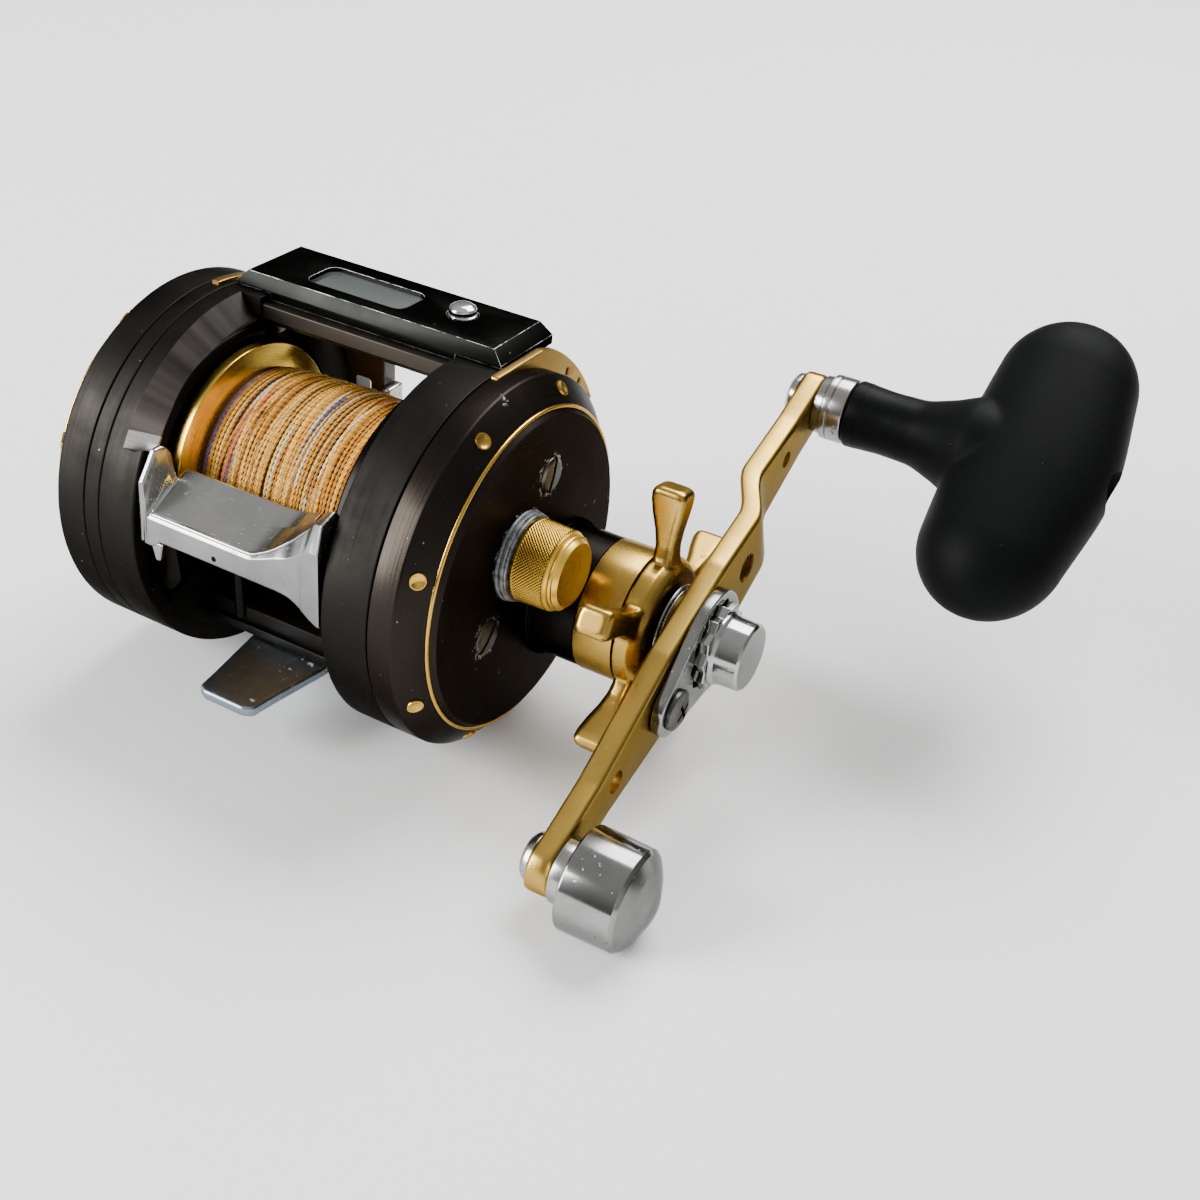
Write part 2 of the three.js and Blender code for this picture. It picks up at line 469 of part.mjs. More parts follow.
// Thumb bar: a saddle between the plates with an ear at each end and a skirt in front. Each
// section is x, then (y, z) of the back edge, top, crest, front and the skirt's two bottom corners.
const saddle = [[-17.5, 29.3], [-20.7, 27.5], [-24.3, 25.5], [-25.2, 24.6], [-25.3, 21.5],
  [-23.8, 21.5]];
const leftEar = [[-19.5, 31.6], [-20.2, 32.9], [-22, 32.9], [-24.6, 29.2], [-25.2, 20.5],
  [-23.8, 20.5]];
const thumbSections = [
  [-14.75, leftEar],
  [-14.3, leftEar],
  [-13.7, [[-19.5, 31.4], [-20.2, 32.4], [-22.2, 29.8], [-24.9, 26.6], [-25.3, 20.4], [-23.8, 20.4]]],
  [-13.1, [[-19.5, 29.4], [-20.4, 29.1], [-23.8, 26], [-25.2, 24.9], [-25.3, 20.4], [-23.8, 20.4]]],
  [-12.55, [[-19.4, 28.2], [-20.7, 27.5], [-24.3, 25.5], [-25.2, 24.6], [-25.3, 20.5], [-23.8, 20.5]]],
  [-12.3, [[-17.7, 29.2], [-20.7, 27.5], [-24.3, 25.5], [-25.2, 24.6], [-25.3, 20.6], [-23.8, 20.6]]],
  [-11, saddle],
  [3, saddle],
  [5.2, [[-17.5, 29.4], [-20.6, 27.8], [-24.2, 26.2], [-25.2, 25], [-25.3, 21.5], [-23.8, 21.5]]],
  [7.4, [[-17.5, 29.7], [-20.5, 28.6], [-24, 27.5], [-25.2, 25.8], [-25.3, 21.5], [-23.8, 21.5]]],
  [9.5, [[-17.7, 30.2], [-20.4, 29.8], [-23.8, 29.1], [-25.2, 27], [-25.3, 21.3], [-23.9, 21.3]]],
  [9.85, [[-19.4, 30.1], [-20.8, 30], [-23.8, 29.4], [-25.2, 27.2], [-25.3, 21.2], [-23.9, 21.2]]],
  [11.6, [[-19.4, 31.1], [-20.8, 31.5], [-23.8, 31.1], [-25.3, 28.3], [-25.4, 20.4], [-24, 20.4]]],
  [11.95, [[-21.2, 31.6], [-21.7, 31.9], [-23.8, 31.4], [-25.4, 28.5], [-25.5, 20.2], [-24.1, 20.2]]],
  [13.6, [[-21.2, 32.9], [-21.8, 33.7], [-24.2, 33.1], [-25.6, 29.6], [-25.7, 19.3], [-24.2, 19.3]]],
  [14.85, [[-21.2, 33.4], [-21.9, 34.3], [-24.6, 33.4], [-25.7, 29.6], [-25.8, 18.9], [-24.2, 18.9]]],
];
const underside = (back) => [[-22.4, 24], [back - 0.2, 27.6]];
const pressRoom = (x0, x1, r) => union(disc(x0, x1, r, SPOOL, 40),
  disc(x0, x1, r, [SPOOL[0], SPOOL[1] + THUMB_TRAVEL], 40));
add("thumb_bar", "chrome", cut(
  loft(thumbSections.map(([x, pts]) => [x, [...pts, ...underside(pts[0][0])]])),
  pressRoom(-16, -12.5, BORE_R + 0.1), pressRoom(9.9, 12.05, BORE_R + 0.1),
  pressRoom(12, 16, LIP_R + 0.3)));

// Level wind: a crossed screw in a slotted guard, a guide rod and the travelling line guide.
function worm() {
  const profile = [[-20.6, 0], [-20.6, 1.45], [-16, 1.45], [-16, 2.2]];
  for (let x = -13; x < 14; x += 5) profile.push([x - 0.5, 2.2], [x, 1.7], [x + 0.5, 2.2]);
  return turned([...profile, [18, 2.2], [18, 1.45], [23.8, 1.45], [23.8, 0]], WORM, 12);
}
add("worm_shaft", "steel", worm());
add("worm_guard", "steel", cut(ring(-15, 15.1, 2.7, 3.3, WORM, 16),
  block(-14, 14, WORM[0] - 1.2, WORM[0] + 1.2, WORM[1] - 4, WORM[1])));
add("guide_rod", "steel", disc(-18, 18, 1.05, ROD, 12));
add("line_guide", "plastic", cut(union(
  block(-12.7, -5.9, 14.6, 22.4, 15.2, 24.4),
  block(-12.7, -5.9, 16, 19.4, 24, 36.8)),
disc(-20, 0, 3.4, WORM, 16), disc(-20, 0, 1.15, ROD, 12),
block(-10.6, -8, 10, 25, 25.6, 32.6)));
add("guide_pawl", "brass", prism("xy", arc(-9.3, WORM[0], 0.9, 0, 330, 11), 16.3, 17.15));

export default reel;
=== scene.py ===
import math

import bmesh
import bpy
import numpy as np
from mathutils import Matrix, Vector


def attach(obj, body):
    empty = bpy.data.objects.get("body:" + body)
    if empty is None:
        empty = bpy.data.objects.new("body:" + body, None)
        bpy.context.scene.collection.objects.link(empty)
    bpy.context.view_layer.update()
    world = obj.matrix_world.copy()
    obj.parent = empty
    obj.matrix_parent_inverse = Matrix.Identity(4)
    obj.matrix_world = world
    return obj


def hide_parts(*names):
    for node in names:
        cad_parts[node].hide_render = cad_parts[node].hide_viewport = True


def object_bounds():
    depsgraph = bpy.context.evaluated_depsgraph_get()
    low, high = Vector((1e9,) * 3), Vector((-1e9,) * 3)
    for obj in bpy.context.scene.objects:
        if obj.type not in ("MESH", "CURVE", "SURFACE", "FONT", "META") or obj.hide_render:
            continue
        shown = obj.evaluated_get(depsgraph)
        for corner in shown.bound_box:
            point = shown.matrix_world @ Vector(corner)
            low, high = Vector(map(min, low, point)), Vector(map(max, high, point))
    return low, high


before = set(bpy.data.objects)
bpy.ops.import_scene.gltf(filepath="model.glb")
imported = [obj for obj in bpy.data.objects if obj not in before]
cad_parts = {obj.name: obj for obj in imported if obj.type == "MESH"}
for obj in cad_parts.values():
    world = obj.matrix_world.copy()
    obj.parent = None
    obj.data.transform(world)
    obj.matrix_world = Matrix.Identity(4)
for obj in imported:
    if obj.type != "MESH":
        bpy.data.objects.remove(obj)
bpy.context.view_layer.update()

# Shapes below are in millimetres and (x, y, z) of the frame; MM turns them into metres.
MM = 0.001
PLATE = (0.0, 20.0)  # (y, z) of the round side plates
PLATE_R = 26.0
SPOOL = (-2.9, 24.1)
HANDLE = (8.62, 13.29)
WORM = (18.5, 19.5)
ROD = (17.5, 35.0)
ARM_ANGLE = math.radians(22.62)
KNOB_S, WEIGHT_S, SCREW_S, SPARE_S = 45.6, -37.55, -11.3, 13.36  # stations along the handle arm
TURN = 2 * math.pi
FINE = 192  # segments round a large turned piece
random = np.random.default_rng(7)


def on_arm(s, n=0.0):
    """(y, z) of a point s along the handle arm from its axis and n across it."""
    c, d = math.cos(ARM_ANGLE), math.sin(ARM_ANGLE)
    return HANDLE[0] + s * c - n * d, HANDLE[1] + s * d + n * c


KNOB, WEIGHT = on_arm(KNOB_S), on_arm(WEIGHT_S)


# ---------------------------------------------------------------- shapes
def placed(name, data):
    """A new object in the scene."""
    obj = bpy.data.objects.new(name, data)
    bpy.context.scene.collection.objects.link(obj)
    return obj


def finished(name, mesh, body, material, node=None, sharp=30.0):
    """A piece from a mesh in millimetres: shaded, painted, and riding on its body."""
    mesh.name = name
    mesh.transform(Matrix.Scale(MM, 4))
    if material:
        mesh.materials.append(material)
    mesh.polygons.foreach_set("use_smooth", [True] * len(mesh.polygons))
    mesh.set_sharp_from_angle(angle=math.radians(sharp))
    obj = placed(name, mesh)
    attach(obj, body)
    if node:
        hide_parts(node)


def outward(mesh, merge=0.0):
    """The mesh with its faces turned to look out, and points closer than merge joined."""
    bm = bmesh.new()
    bm.from_mesh(mesh)
    if merge:
        bmesh.ops.remove_doubles(bm, verts=bm.verts, dist=merge)
    bmesh.ops.recalc_face_normals(bm, faces=bm.faces)
    bm.to_mesh(mesh)
    bm.free()
    return mesh


def mesh_of(verts, faces):
    mesh = bpy.data.meshes.new("shape")
    mesh.from_pydata([tuple(v) for v in verts], [], faces)
    return outward(mesh)


def polar(at, r, a):
    """The point at radius r and angle a (in radians) about a point."""
    return at[0] + r * math.cos(a), at[1] + r * math.sin(a)


def around(n):
    """n equal steps of one full turn, in radians."""
    return [TURN * k / n for k in range(n)]


def tube_faces(rows, n, first=0, endless=False):
    """Quads between rings of n points: rows strips, the last of which may meet the first ring."""
    rings = rows if endless else rows + 1
    return [
        (first + i * n + k, first + i * n + (k + 1) % n,
         first + (i + 1) % rings * n + (k + 1) % n, first + (i + 1) % rings * n + k)
        for i in range(rows)
        for k in range(n)
    ]


def rounded(points, steps=5):
    """The outline with a fillet at each (u, v, radius) corner."""
    out = []
    for i, p in enumerate(points):
        here = Vector(p[:2])
        radius = p[2] if len(p) > 2 else 0.0
        if radius <= 0:
            out.append(tuple(here))
            continue
        back = Vector(points[i - 1][:2]) - here
        ahead = Vector(points[(i + 1) % len(points)][:2]) - here
        half = back.angle(ahead) / 2
        run = min(radius / math.tan(half), 0.48 * back.length, 0.48 * ahead.length)
        centre = here + (back.normalized() + ahead.normalized()).normalized() * (run / math.cos(half))
        start = here + back.normalized() * run - centre
        end = here + ahead.normalized() * run - centre
        a0 = math.atan2(start.y, start.x)
        sweep = (math.atan2(end.y, end.x) - a0 + math.pi) % TURN - math.pi
        out += [polar(centre, start.length, a0 + sweep * k / steps) for k in range(steps + 1)]
    return out


def turned(profile, at, segments=FINE):
    """A solid of revolution along X about (y, z); the profile is a closed list of (x, r[, fillet])."""
    verts, rings = [], []
    for x, r in rounded(profile):
        count = 1 if r < 1e-6 else segments
        rings.append(range(len(verts), len(verts) + count))
        verts += [(x, *at)] if count == 1 else [(x, *polar(at, r, a)) for a in around(segments)]
    faces = []
    for ring, after in zip(rings, rings[1:] + rings[:1]):
        if len(ring) == 1 and len(after) == 1:
            continue
        for k in range(segments):
            j = (k + 1) % segments
            quad = [ring[k % len(ring)], ring[j % len(ring)], after[j % len(after)], after[k % len(after)]]
            faces.append(list(dict.fromkeys(quad)))
    return mesh_of(verts, faces)


def cylinder(x0, x1, r, at, segments=48, soft=0.0, bore=0.0):
    """A plain cylinder or tube along X about (y, z), with softened outer edges."""
    return turned([(x0, bore), (x0, r, soft), (x1, r, soft), (x1, bore)], at, segments)


def turned_up(profile, at, segments=48):
    """A solid of revolution along Z about (x, y); the profile is a closed list of (z, r[, fillet])."""
    upright = Matrix(((0, 1, 0, at[0]), (0, 0, 1, at[1]), (1, 0, 0, 0), (0, 0, 0, 1)))
    return moved(turned(profile, (0, 0), segments), upright)


def skin(sections):
    """A closed skin over rings of (x, y, z) points, each with the same number of points."""
    n, rows = len(sections[0]), len(sections) - 1
    ends = [tuple(range(n)), tuple(range(rows * n, (rows + 1) * n))]
    return mesh_of([p for ring in sections for p in ring], tube_faces(rows, n) + ends)


AXES = {  # columns: where an outline's u, v and its depth go
    "yz": Matrix(((0, 0, 1), (1, 0, 0), (0, 1, 0))),
    "xz": Matrix(((1, 0, 0), (0, 0, -1), (0, 1, 0))),
    "xy": Matrix.Identity(3),
}


def plate(axes, outline, low, high, bevel, holes=(), bevel_steps=3):
    """A flat plate with rounded edges and real holes, from low to high along its thin axis."""
    curve = bpy.data.curves.new("plate", "CURVE")
    curve.dimensions = "2D"
    curve.fill_mode = "BOTH"
    for loop in [rounded(outline, 6), *holes]:
        spline = curve.splines.new("POLY")
        spline.points.add(len(loop) - 1)
        for point, (u, v) in zip(spline.points, loop):
            point.co = (u, v, 0, 1)
        spline.use_cyclic_u = True
    curve.extrude = abs(high - low) / 2 - bevel
    curve.bevel_depth = bevel
    curve.bevel_resolution = bevel_steps
    curve.offset = -bevel
    mesh = evaluated(placed("plate", curve))
    bpy.data.curves.remove(curve)
    middle = (low + high) / 2 * (-1 if axes == "xz" else 1)
    return outward(moved(mesh, AXES[axes].to_4x4() @ Matrix.Translation((0, 0, middle))), 1e-4)


def evaluated(holder):
    """The mesh that an object comes to; the object itself is removed."""
    bpy.context.view_layer.update()
    mesh = bpy.data.meshes.new_from_object(holder.evaluated_get(bpy.context.evaluated_depsgraph_get()))
    bpy.data.objects.remove(holder)
    return mesh


def circle(at, r, n=32):
    return [polar(at, r, a) for a in around(n)]


def arc(at, r, a0, a1, n):
    """n steps of an arc between two angles in degrees, both ends included."""
    return [polar(at, r, math.radians(a0 + (a1 - a0) * k / n)) for k in range(n + 1)]


def modified(mesh, *settings):
    """The mesh after modifiers: each setting is (type, {name: value})."""
    holder = placed("work", mesh)
    for kind, values in settings:
        modifier = holder.modifiers.new(kind, kind)
        for key, value in values.items():
            setattr(modifier, key, value)
    return evaluated(holder)


def combined(mesh, tools, operation="DIFFERENCE"):
    """The mesh cut by, or joined with, other closed meshes."""
    for tool in tools:
        other = placed("tool", tool)
        mesh = modified(mesh, ("BOOLEAN", {"object": other, "operation": operation, "solver": "EXACT"}))
        bpy.data.objects.remove(other)
    return mesh


def blended(meshes, voxel, smooth):
    """One closed skin over overlapping closed shapes, softened where they meet."""
    bm = bmesh.new()
    for mesh in meshes:
        bm.from_mesh(mesh)
    out = bpy.data.meshes.new("blend")
    bm.to_mesh(out)
    bm.free()
    return modified(out, ("REMESH", {"mode": "VOXEL", "voxel_size": voxel}),
                    ("SMOOTH", {"iterations": smooth, "factor": 0.5}))


def moved(mesh, matrix):
    mesh.transform(matrix)
    return mesh


def block(low, high, bevel=0.0):
    bm = bmesh.new()
    bmesh.ops.create_cube(bm, size=1.0)
    for v in bm.verts:
        for i in range(3):
            v.co[i] = low[i] if v.co[i] < 0 else high[i]
    mesh = bpy.data.meshes.new("block")
    bm.to_mesh(mesh)
    bm.free()
    if bevel:
        mesh = modified(mesh, ("BEVEL", {"width": bevel, "segments": 3, "limit_method": "NONE"}))
    return mesh


def slotted(mesh, at, x, half_width, reach=4, turn=0.0):
    """A screw head along X with a straight slot from x outwards, turned about its axis."""
    cut = moved(block((x, -reach, -half_width), (x + 3, reach, half_width)),
                Matrix.Translation((0, *at)) @ Matrix.Rotation(turn, 4, "X"))
    return combined(mesh, [cut])


# ---------------------------------------------------------------- materials
class Nodes:
    """Short names for the shader nodes used below; an input is a value or another node's output."""

    def __init__(self, tree):
        self.tree = tree

    def feed(self, socket, value):
        if isinstance(value, bpy.types.NodeSocket):
            self.tree.links.new(value, socket)
        else:
            socket.default_value = (*value, 1.0) if socket.type == "RGBA" else value

    def put(self, kind, props=None, **inputs):
        """A node with its properties set; an input's key is its name, or i and its number."""
        made = self.tree.nodes.new("ShaderNode" + kind)
        for key, value in (props or {}).items():
            setattr(made, key, value)
        for key, value in inputs.items():
            self.feed(made.inputs[int(key[1:]) if key[1:].isdigit() else key.replace("_", " ")], value)
        return made

    def math(self, operation, a, b=0.0):
        return self.put("Math", {"operation": operation}, i0=a, i1=b).outputs[0]

    def add(self, a, b):
        return self.math("ADD", a, b)

    def less(self, a, b):
        return self.math("SUBTRACT", a, b)

    def times(self, a, b):
        return self.math("MULTIPLY", a, b)

    def vector(self, operation, a, b):
        """The number that comes from two vectors."""
        return self.put("VectorMath", {"operation": operation}, i0=a, i1=b).outputs["Value"]

    def mix(self, factor, a, b):
        return self.put("Mix", {"data_type": "RGBA"}, i0=factor, i6=a, i7=b).outputs[2]

    def ramp(self, value, low, high, a=0.0, b=1.0):
        """value from low..high to a..b, held at both ends."""
        return self.put("MapRange", {"clamp": True}, Value=value, From_Min=low, From_Max=high,
                        To_Min=a, To_Max=b).outputs[0]

    def noise(self, vector, scale, detail=2.0, roughness=0.5):
        return self.put("TexNoise", Vector=vector, Scale=scale, Detail=detail,
                        Roughness=roughness).outputs["Fac"]

    def split(self, vector):
        return self.put("SeparateXYZ", Vector=vector).outputs

    def joined(self, x, y=0.0):
        return self.put("CombineXYZ", X=x, Y=y).outputs[0]


class Look(Nodes):
    """A material whose finish goes by the place on the object."""

    def __init__(self, name):
        self.material = bpy.data.materials.new(name)
        self.material.use_nodes = True
        super().__init__(self.material.node_tree)
        self.where = self.put("TexCoord").outputs["Object"]

    def spots(self, scale, threshold, soft=0.02, detail=2.0):
        """1 in scattered spots of a noise, 0 elsewhere."""
        return self.ramp(self.noise(self.where, scale, detail, 0.6), threshold, threshold + soft)

    def painted(self, tint, rough, height=None, strength=0.5, distance=0.06, metallic=0.0, edge=1.0,
                level=0.5, coat=0.0):
        """The material with these finishes; a bump's distance is in millimetres."""
        shader = self.tree.nodes["Principled BSDF"].inputs
        self.feed(shader["Base Color"], tint)
        self.feed(shader["Roughness"], rough)
        shader["Metallic"].default_value = metallic
        shader["Specular Tint"].default_value = (edge, edge, edge, 1)
        shader["Specular IOR Level"].default_value = level
        shader["Coat Weight"].default_value = coat
        shader["Coat Roughness"].default_value = 0.05
        if height is not None:
            bump = self.put("Bump", Strength=strength, Distance=distance * MM, Height=height)
            self.feed(shader["Normal"], bump.outputs[0])
        return self.material


def metal(name, colour, dark, roughness, axis=None, turned_lines=0.0, mottle=0.25, pits=0.0, pit_scale=900.0,
          metallic=1.0, wear=None, scratches=0.0, edge=1.0, shaded_side=None, shade_factor=1.0):
    """A metal finish: tint that drifts, turned lines about an axis, pits and fine scratches.

    Faces that look towards the shaded side get a painted shade: their tint is multiplied by the shade factor.
    """
    look = Look(name)
    cloud = look.noise(look.where, 120.0, 5.0, 0.6)
    tint = look.mix(look.times(look.ramp(cloud, 0.3, 0.7), mottle), colour, dark)
    rough = look.ramp(cloud, 0.3, 0.7, roughness * 0.8, roughness * 1.25)
    height = look.times(cloud, 0.2)
    if pits:
        holes = look.spots(pit_scale, 0.68, 0.06)
        tint = look.mix(look.times(holes, pits), tint, dark)
        rough = look.add(rough, look.times(holes, 0.3 * pits))
        height = look.less(height, look.times(holes, pits))
    if scratches:
        stretched = look.put("Mapping", Vector=look.where, Scale=(1.0, 14.0, 3.0), Rotation=(0.4, 0.2, 0.9))
        marks = look.ramp(look.noise(stretched.outputs[0], 420.0, 3.0), 0.64, 0.7)
        rough = look.add(rough, look.times(marks, 0.25 * scratches))
        height = look.less(height, look.times(marks, 0.5 * scratches))
    if turned_lines:
        rings = look.noise(lines_about(look, axis), 2600.0, 3.0, 0.7)
        height = look.add(height, look.times(rings, turned_lines))
        rough = look.add(rough, look.ramp(rings, 0.3, 0.7, -0.04, 0.06))
    if wear:
        tint, rough = wear(look, tint, rough)
    # painted shade: the tint is darkened on faces turned towards one side
    if shaded_side:
        facing = look.vector("DOT_PRODUCT", look.put("NewGeometry").outputs["Normal"], shaded_side)
        tint = look.put("VectorMath", {"operation": "SCALE"}, i0=tint,
                        Scale=look.ramp(facing, 0.45, 0.85, 1.0, shade_factor)).outputs["Vector"]
    return look.painted(tint, rough, height, metallic=metallic, edge=edge)


def lines_about(look, at):
    """A vector of x and the radius about the axis at (y, z), for turned lines."""
    x, y, z = look.split(look.where)
    y, z = look.less(y, at[0] * MM), look.less(z, at[1] * MM)
    return look.joined(x, look.math("SQRT", look.add(look.times(y, y), look.times(z, z))))


FACE_SCREWS = ((3.8, 33.0), (-10.2, 15.2))
FACE_X, SHOULDER_X = 29.7, 26.3  # the right cover's face, and the worn place on its shoulder


def dust_and_chips(look, tint, rough):
    """Dust specks all over, and pale chipped paint round the two screws and the cap's collar."""
    tint = look.mix(look.times(look.spots(1500.0, 0.76), 0.55), tint, (0.5, 0.49, 0.47))
    flakes = look.noise(look.where, 1300.0, 4.0, 0.75)
    chips = 0.0
    for x, at, inner, outer in ((FACE_X, FACE_SCREWS[0], 2.5, 3.9), (FACE_X, FACE_SCREWS[1], 2.5, 3.9),
                                (FACE_X, SPOOL, 6.0, 7.2), (SHOULDER_X, (-3.2, 45.2), 0.3, 1.3)):
        gap = look.vector("DISTANCE", look.where, tuple(c * MM for c in (x, *at)))
        zone = look.ramp(gap, inner * MM, outer * MM, 1.0, 0.0)
        here = look.ramp(look.add(flakes, look.times(zone, 0.24)), 0.73, 0.76)
        chips = look.math("MAXIMUM", chips, look.times(here, look.ramp(zone, 0.0, 0.05)))
    return look.mix(chips, tint, (0.42, 0.44, 0.43)), look.add(rough, look.times(chips, 0.3))


def edge_dust(look, tint, rough):
    return look.mix(look.times(look.spots(1500.0, 0.76), 0.5), tint, (0.45, 0.44, 0.42)), rough


def foot_flecks(look, tint, rough):
    """Dried flecks and small bare spots on the foot."""
    dust = look.times(look.spots(1200.0, 0.67, 0.03), 0.5)
    both = look.math("MAXIMUM", look.spots(420.0, 0.655, 0.03, 5.0), dust)
    return look.mix(both, tint, (0.75, 0.74, 0.70)), look.add(rough, look.times(both, 0.3))


def worn_paint(look, tint, rough):
    bare = look.ramp(look.noise(look.where, 700.0, 5.0, 0.75), 0.36, 0.6)
    return look.mix(bare, tint, (0.28, 0.29, 0.3)), look.add(rough, look.times(bare, 0.15))


BEVEL_END, BEVEL_LEAN = 152, -2.6  # where each ring's bevel ends at its outer side, and how much less inside


def milled_and_highlit(look, tint, rough):
    """Broad and fine cutter streaks across the bevel in a painted highlight colour that grows stronger
    towards its lower end, where a near-white band is a painted highlight.
    """
    x, y, z = look.split(look.where)
    turn = look.math("ARCTAN2", look.less(z, PLATE[1] * MM), look.less(y, PLATE[0] * MM))
    along = look.joined(turn)
    fine = look.noise(along, 160.0, 3.0, 0.7)
    streaks = look.add(look.ramp(look.noise(along, 9.0, 1.0), 0.35, 0.65, 0.15, 0.75),
                       look.ramp(fine, 0.35, 0.7, 0.0, 0.25))
    # painted highlight: the streaks take a light colour, more of it towards the bevel's lower end
    tint = look.mix(look.times(streaks, look.ramp(turn, 1.7, 2.5, 0.1, 1.0)), tint, (0.27, 0.235, 0.225))
    end = look.ramp(x, -20 * MM, -14 * MM, math.radians(BEVEL_END), math.radians(BEVEL_END + BEVEL_LEAN))
    # painted highlight: a near-white band at the bevel's lower end
    facet_highlight = look.ramp(look.less(turn, end), -0.084, -0.08)
    return look.mix(look.times(facet_highlight, look.ramp(fine, 0.3, 0.7, 0.45, 1.0)), tint, (0.92, 0.89, 0.86)), rough


RIGHT, FRONT = (1, 0, 0), (0, -1, 0)
BLACK, BLACK_LOW = (0.0165, 0.0152, 0.0138), (0.0112, 0.0102, 0.0092)
DEEP, DEEP_LOW = (0.010, 0.009, 0.008), (0.006, 0.005, 0.005)
GOLD, GOLD_LOW = (0.57, 0.36, 0.08), (0.31, 0.18, 0.03)
black_body = metal("anodised_black", BLACK, BLACK_LOW, 0.5, PLATE, 0.2, wear=edge_dust, edge=0.4)
milled_black_highlit = metal("milled_black_highlit", BLACK, BLACK_LOW, 0.34, wear=milled_and_highlit, edge=0.5)
black_beam = metal("anodised_beam", (0.045, 0.038, 0.032), (0.03, 0.025, 0.021), 0.4, wear=edge_dust,
                   edge=0.5)
black_face = metal("anodised_face", (0.022, 0.018, 0.015), (0.015, 0.012, 0.010), 0.32, PLATE, 0.6,
                   wear=dust_and_chips, edge=0.45)
black_inner = metal("black_inner", DEEP, DEEP_LOW, 0.28, edge=0.3)
black_hub = metal("black_hub", DEEP, DEEP_LOW, 0.28, HANDLE, 0.3, edge=0.35)
black_box = metal("counter_paint", (0.0105, 0.011, 0.010), (0.007, 0.0075, 0.007), 0.33, wear=edge_dust,
                  edge=0.3)
collar_worn = metal("collar_worn", (0.07, 0.075, 0.08), (0.03, 0.03, 0.03), 0.35, metallic=0.9,
                    wear=worn_paint)
guide_black = metal("guide_black", (0.03, 0.024, 0.02), (0.02, 0.016, 0.012), 0.4, metallic=0.2)
gold_ring = metal("gold_ring", (0.62, 0.38, 0.07), GOLD_LOW, 0.2, edge=0.6)
gold_spool = metal("gold_spool", (0.80, 0.53, 0.09), (0.55, 0.33, 0.035), 0.24, SPOOL, 0.15, edge=0.6)
# painted shade on its right-facing (+X) faces
gold_hub = metal("gold_hub", GOLD, GOLD_LOW, 0.27, mottle=0.7, pits=0.5, pit_scale=520.0, edge=0.45,
                 shaded_side=RIGHT, shade_factor=0.4)
gold_cap = metal("gold_cap", (0.86, 0.58, 0.10), (0.62, 0.38, 0.05), 0.3, SPOOL, 0.4, edge=0.6)
gold_knurl = metal("gold_knurl", (0.50, 0.30, 0.04), (0.36, 0.18, 0.012), 0.2, edge=0.6)
gold_plate = metal("gold_plate", (0.34, 0.22, 0.06), (0.22, 0.13, 0.03), 0.34, mottle=0.4, edge=0.6)
# painted shade on its right-facing (+X) faces
gold_arm = metal("gold_arm", (0.54, 0.35, 0.08), (0.33, 0.20, 0.035), 0.3, mottle=0.5, pits=0.35,
                 pit_scale=1500.0, edge=0.45, shaded_side=RIGHT, shade_factor=0.45)
brass = metal("machined_brass", (0.62, 0.46, 0.18), (0.42, 0.3, 0.1), 0.3, mottle=0.4, pits=0.2)
worn_brass = metal("worn_brass", (0.115, 0.112, 0.085), (0.045, 0.043, 0.032), 0.3, mottle=0.8, pits=0.4,
                   edge=0.7)
chrome_foot = metal("chrome_foot", (0.30, 0.37, 0.44), (0.17, 0.19, 0.21), 0.36, mottle=0.8, pits=0.5,
                    pit_scale=1100.0, edge=0.7, wear=foot_flecks)
# painted shade on its front-facing faces
chrome_bar = metal("chrome_bar", (0.56, 0.565, 0.56), (0.34, 0.345, 0.34), 0.2, mottle=0.8, pits=0.4,
                   pit_scale=700.0, scratches=0.3, edge=0.6, shaded_side=FRONT, shade_factor=0.5)
chrome_bright = metal("chrome_bright", (0.75, 0.75, 0.77), (0.5, 0.5, 0.52), 0.12, mottle=0.3, pits=0.3)
# painted shade on its right-facing (+X) faces
polished = metal("polished_steel", (0.33, 0.335, 0.33), (0.16, 0.16, 0.155), 0.14, mottle=0.7, pits=0.8,
                 pit_scale=1300.0, edge=0.7, shaded_side=RIGHT, shade_factor=0.55)
nut_steel = metal("nut_steel", (0.44, 0.445, 0.44), (0.24, 0.24, 0.24), 0.12, mottle=0.4, pits=0.4,
                  pit_scale=1500.0, edge=0.7)
plate_steel = metal("plate_steel", (0.36, 0.365, 0.35), (0.14, 0.14, 0.135), 0.18, mottle=0.7, pits=0.8,
                    pit_scale=1500.0, edge=0.7)
screw_steel = metal("screw_steel", (0.14, 0.137, 0.13), (0.045, 0.045, 0.042), 0.3, mottle=0.7, pits=0.5,
                    edge=0.6)
collar_steel = metal("collar_steel", (0.50, 0.49, 0.47), (0.17, 0.165, 0.155), 0.2, mottle=0.7, pits=1.0,
                     edge=0.8)
steel = metal("machined_steel", (0.36, 0.36, 0.37), (0.24, 0.24, 0.25), 0.25, WORM, 0.2)


def worn_edge():
    """Thin edges: bare metal where the paint has gone, box paint between."""
    look = Look("counter_edge")
    bare = look.ramp(look.noise(look.where, 260.0, 5.0, 0.7), 0.44, 0.55)
    return look.painted(look.mix(bare, (0.03, 0.032, 0.029), (0.72, 0.72, 0.68)),
                        look.ramp(bare, 0, 1, 0.42, 0.3), metallic=0.4)


def display_material(name, low, high, rough, coat):
    """A matte glass that changes tone from the box's front to its back."""
    look = Look(name)
    along = look.ramp(look.split(look.where)[1], 6.5 * MM, 11.5 * MM)
    blend = look.add(along, look.ramp(look.noise(look.where, 160.0), 0.3, 0.7, -0.1, 0.1))
    return look.painted(look.mix(blend, low, high), rough, coat=coat)


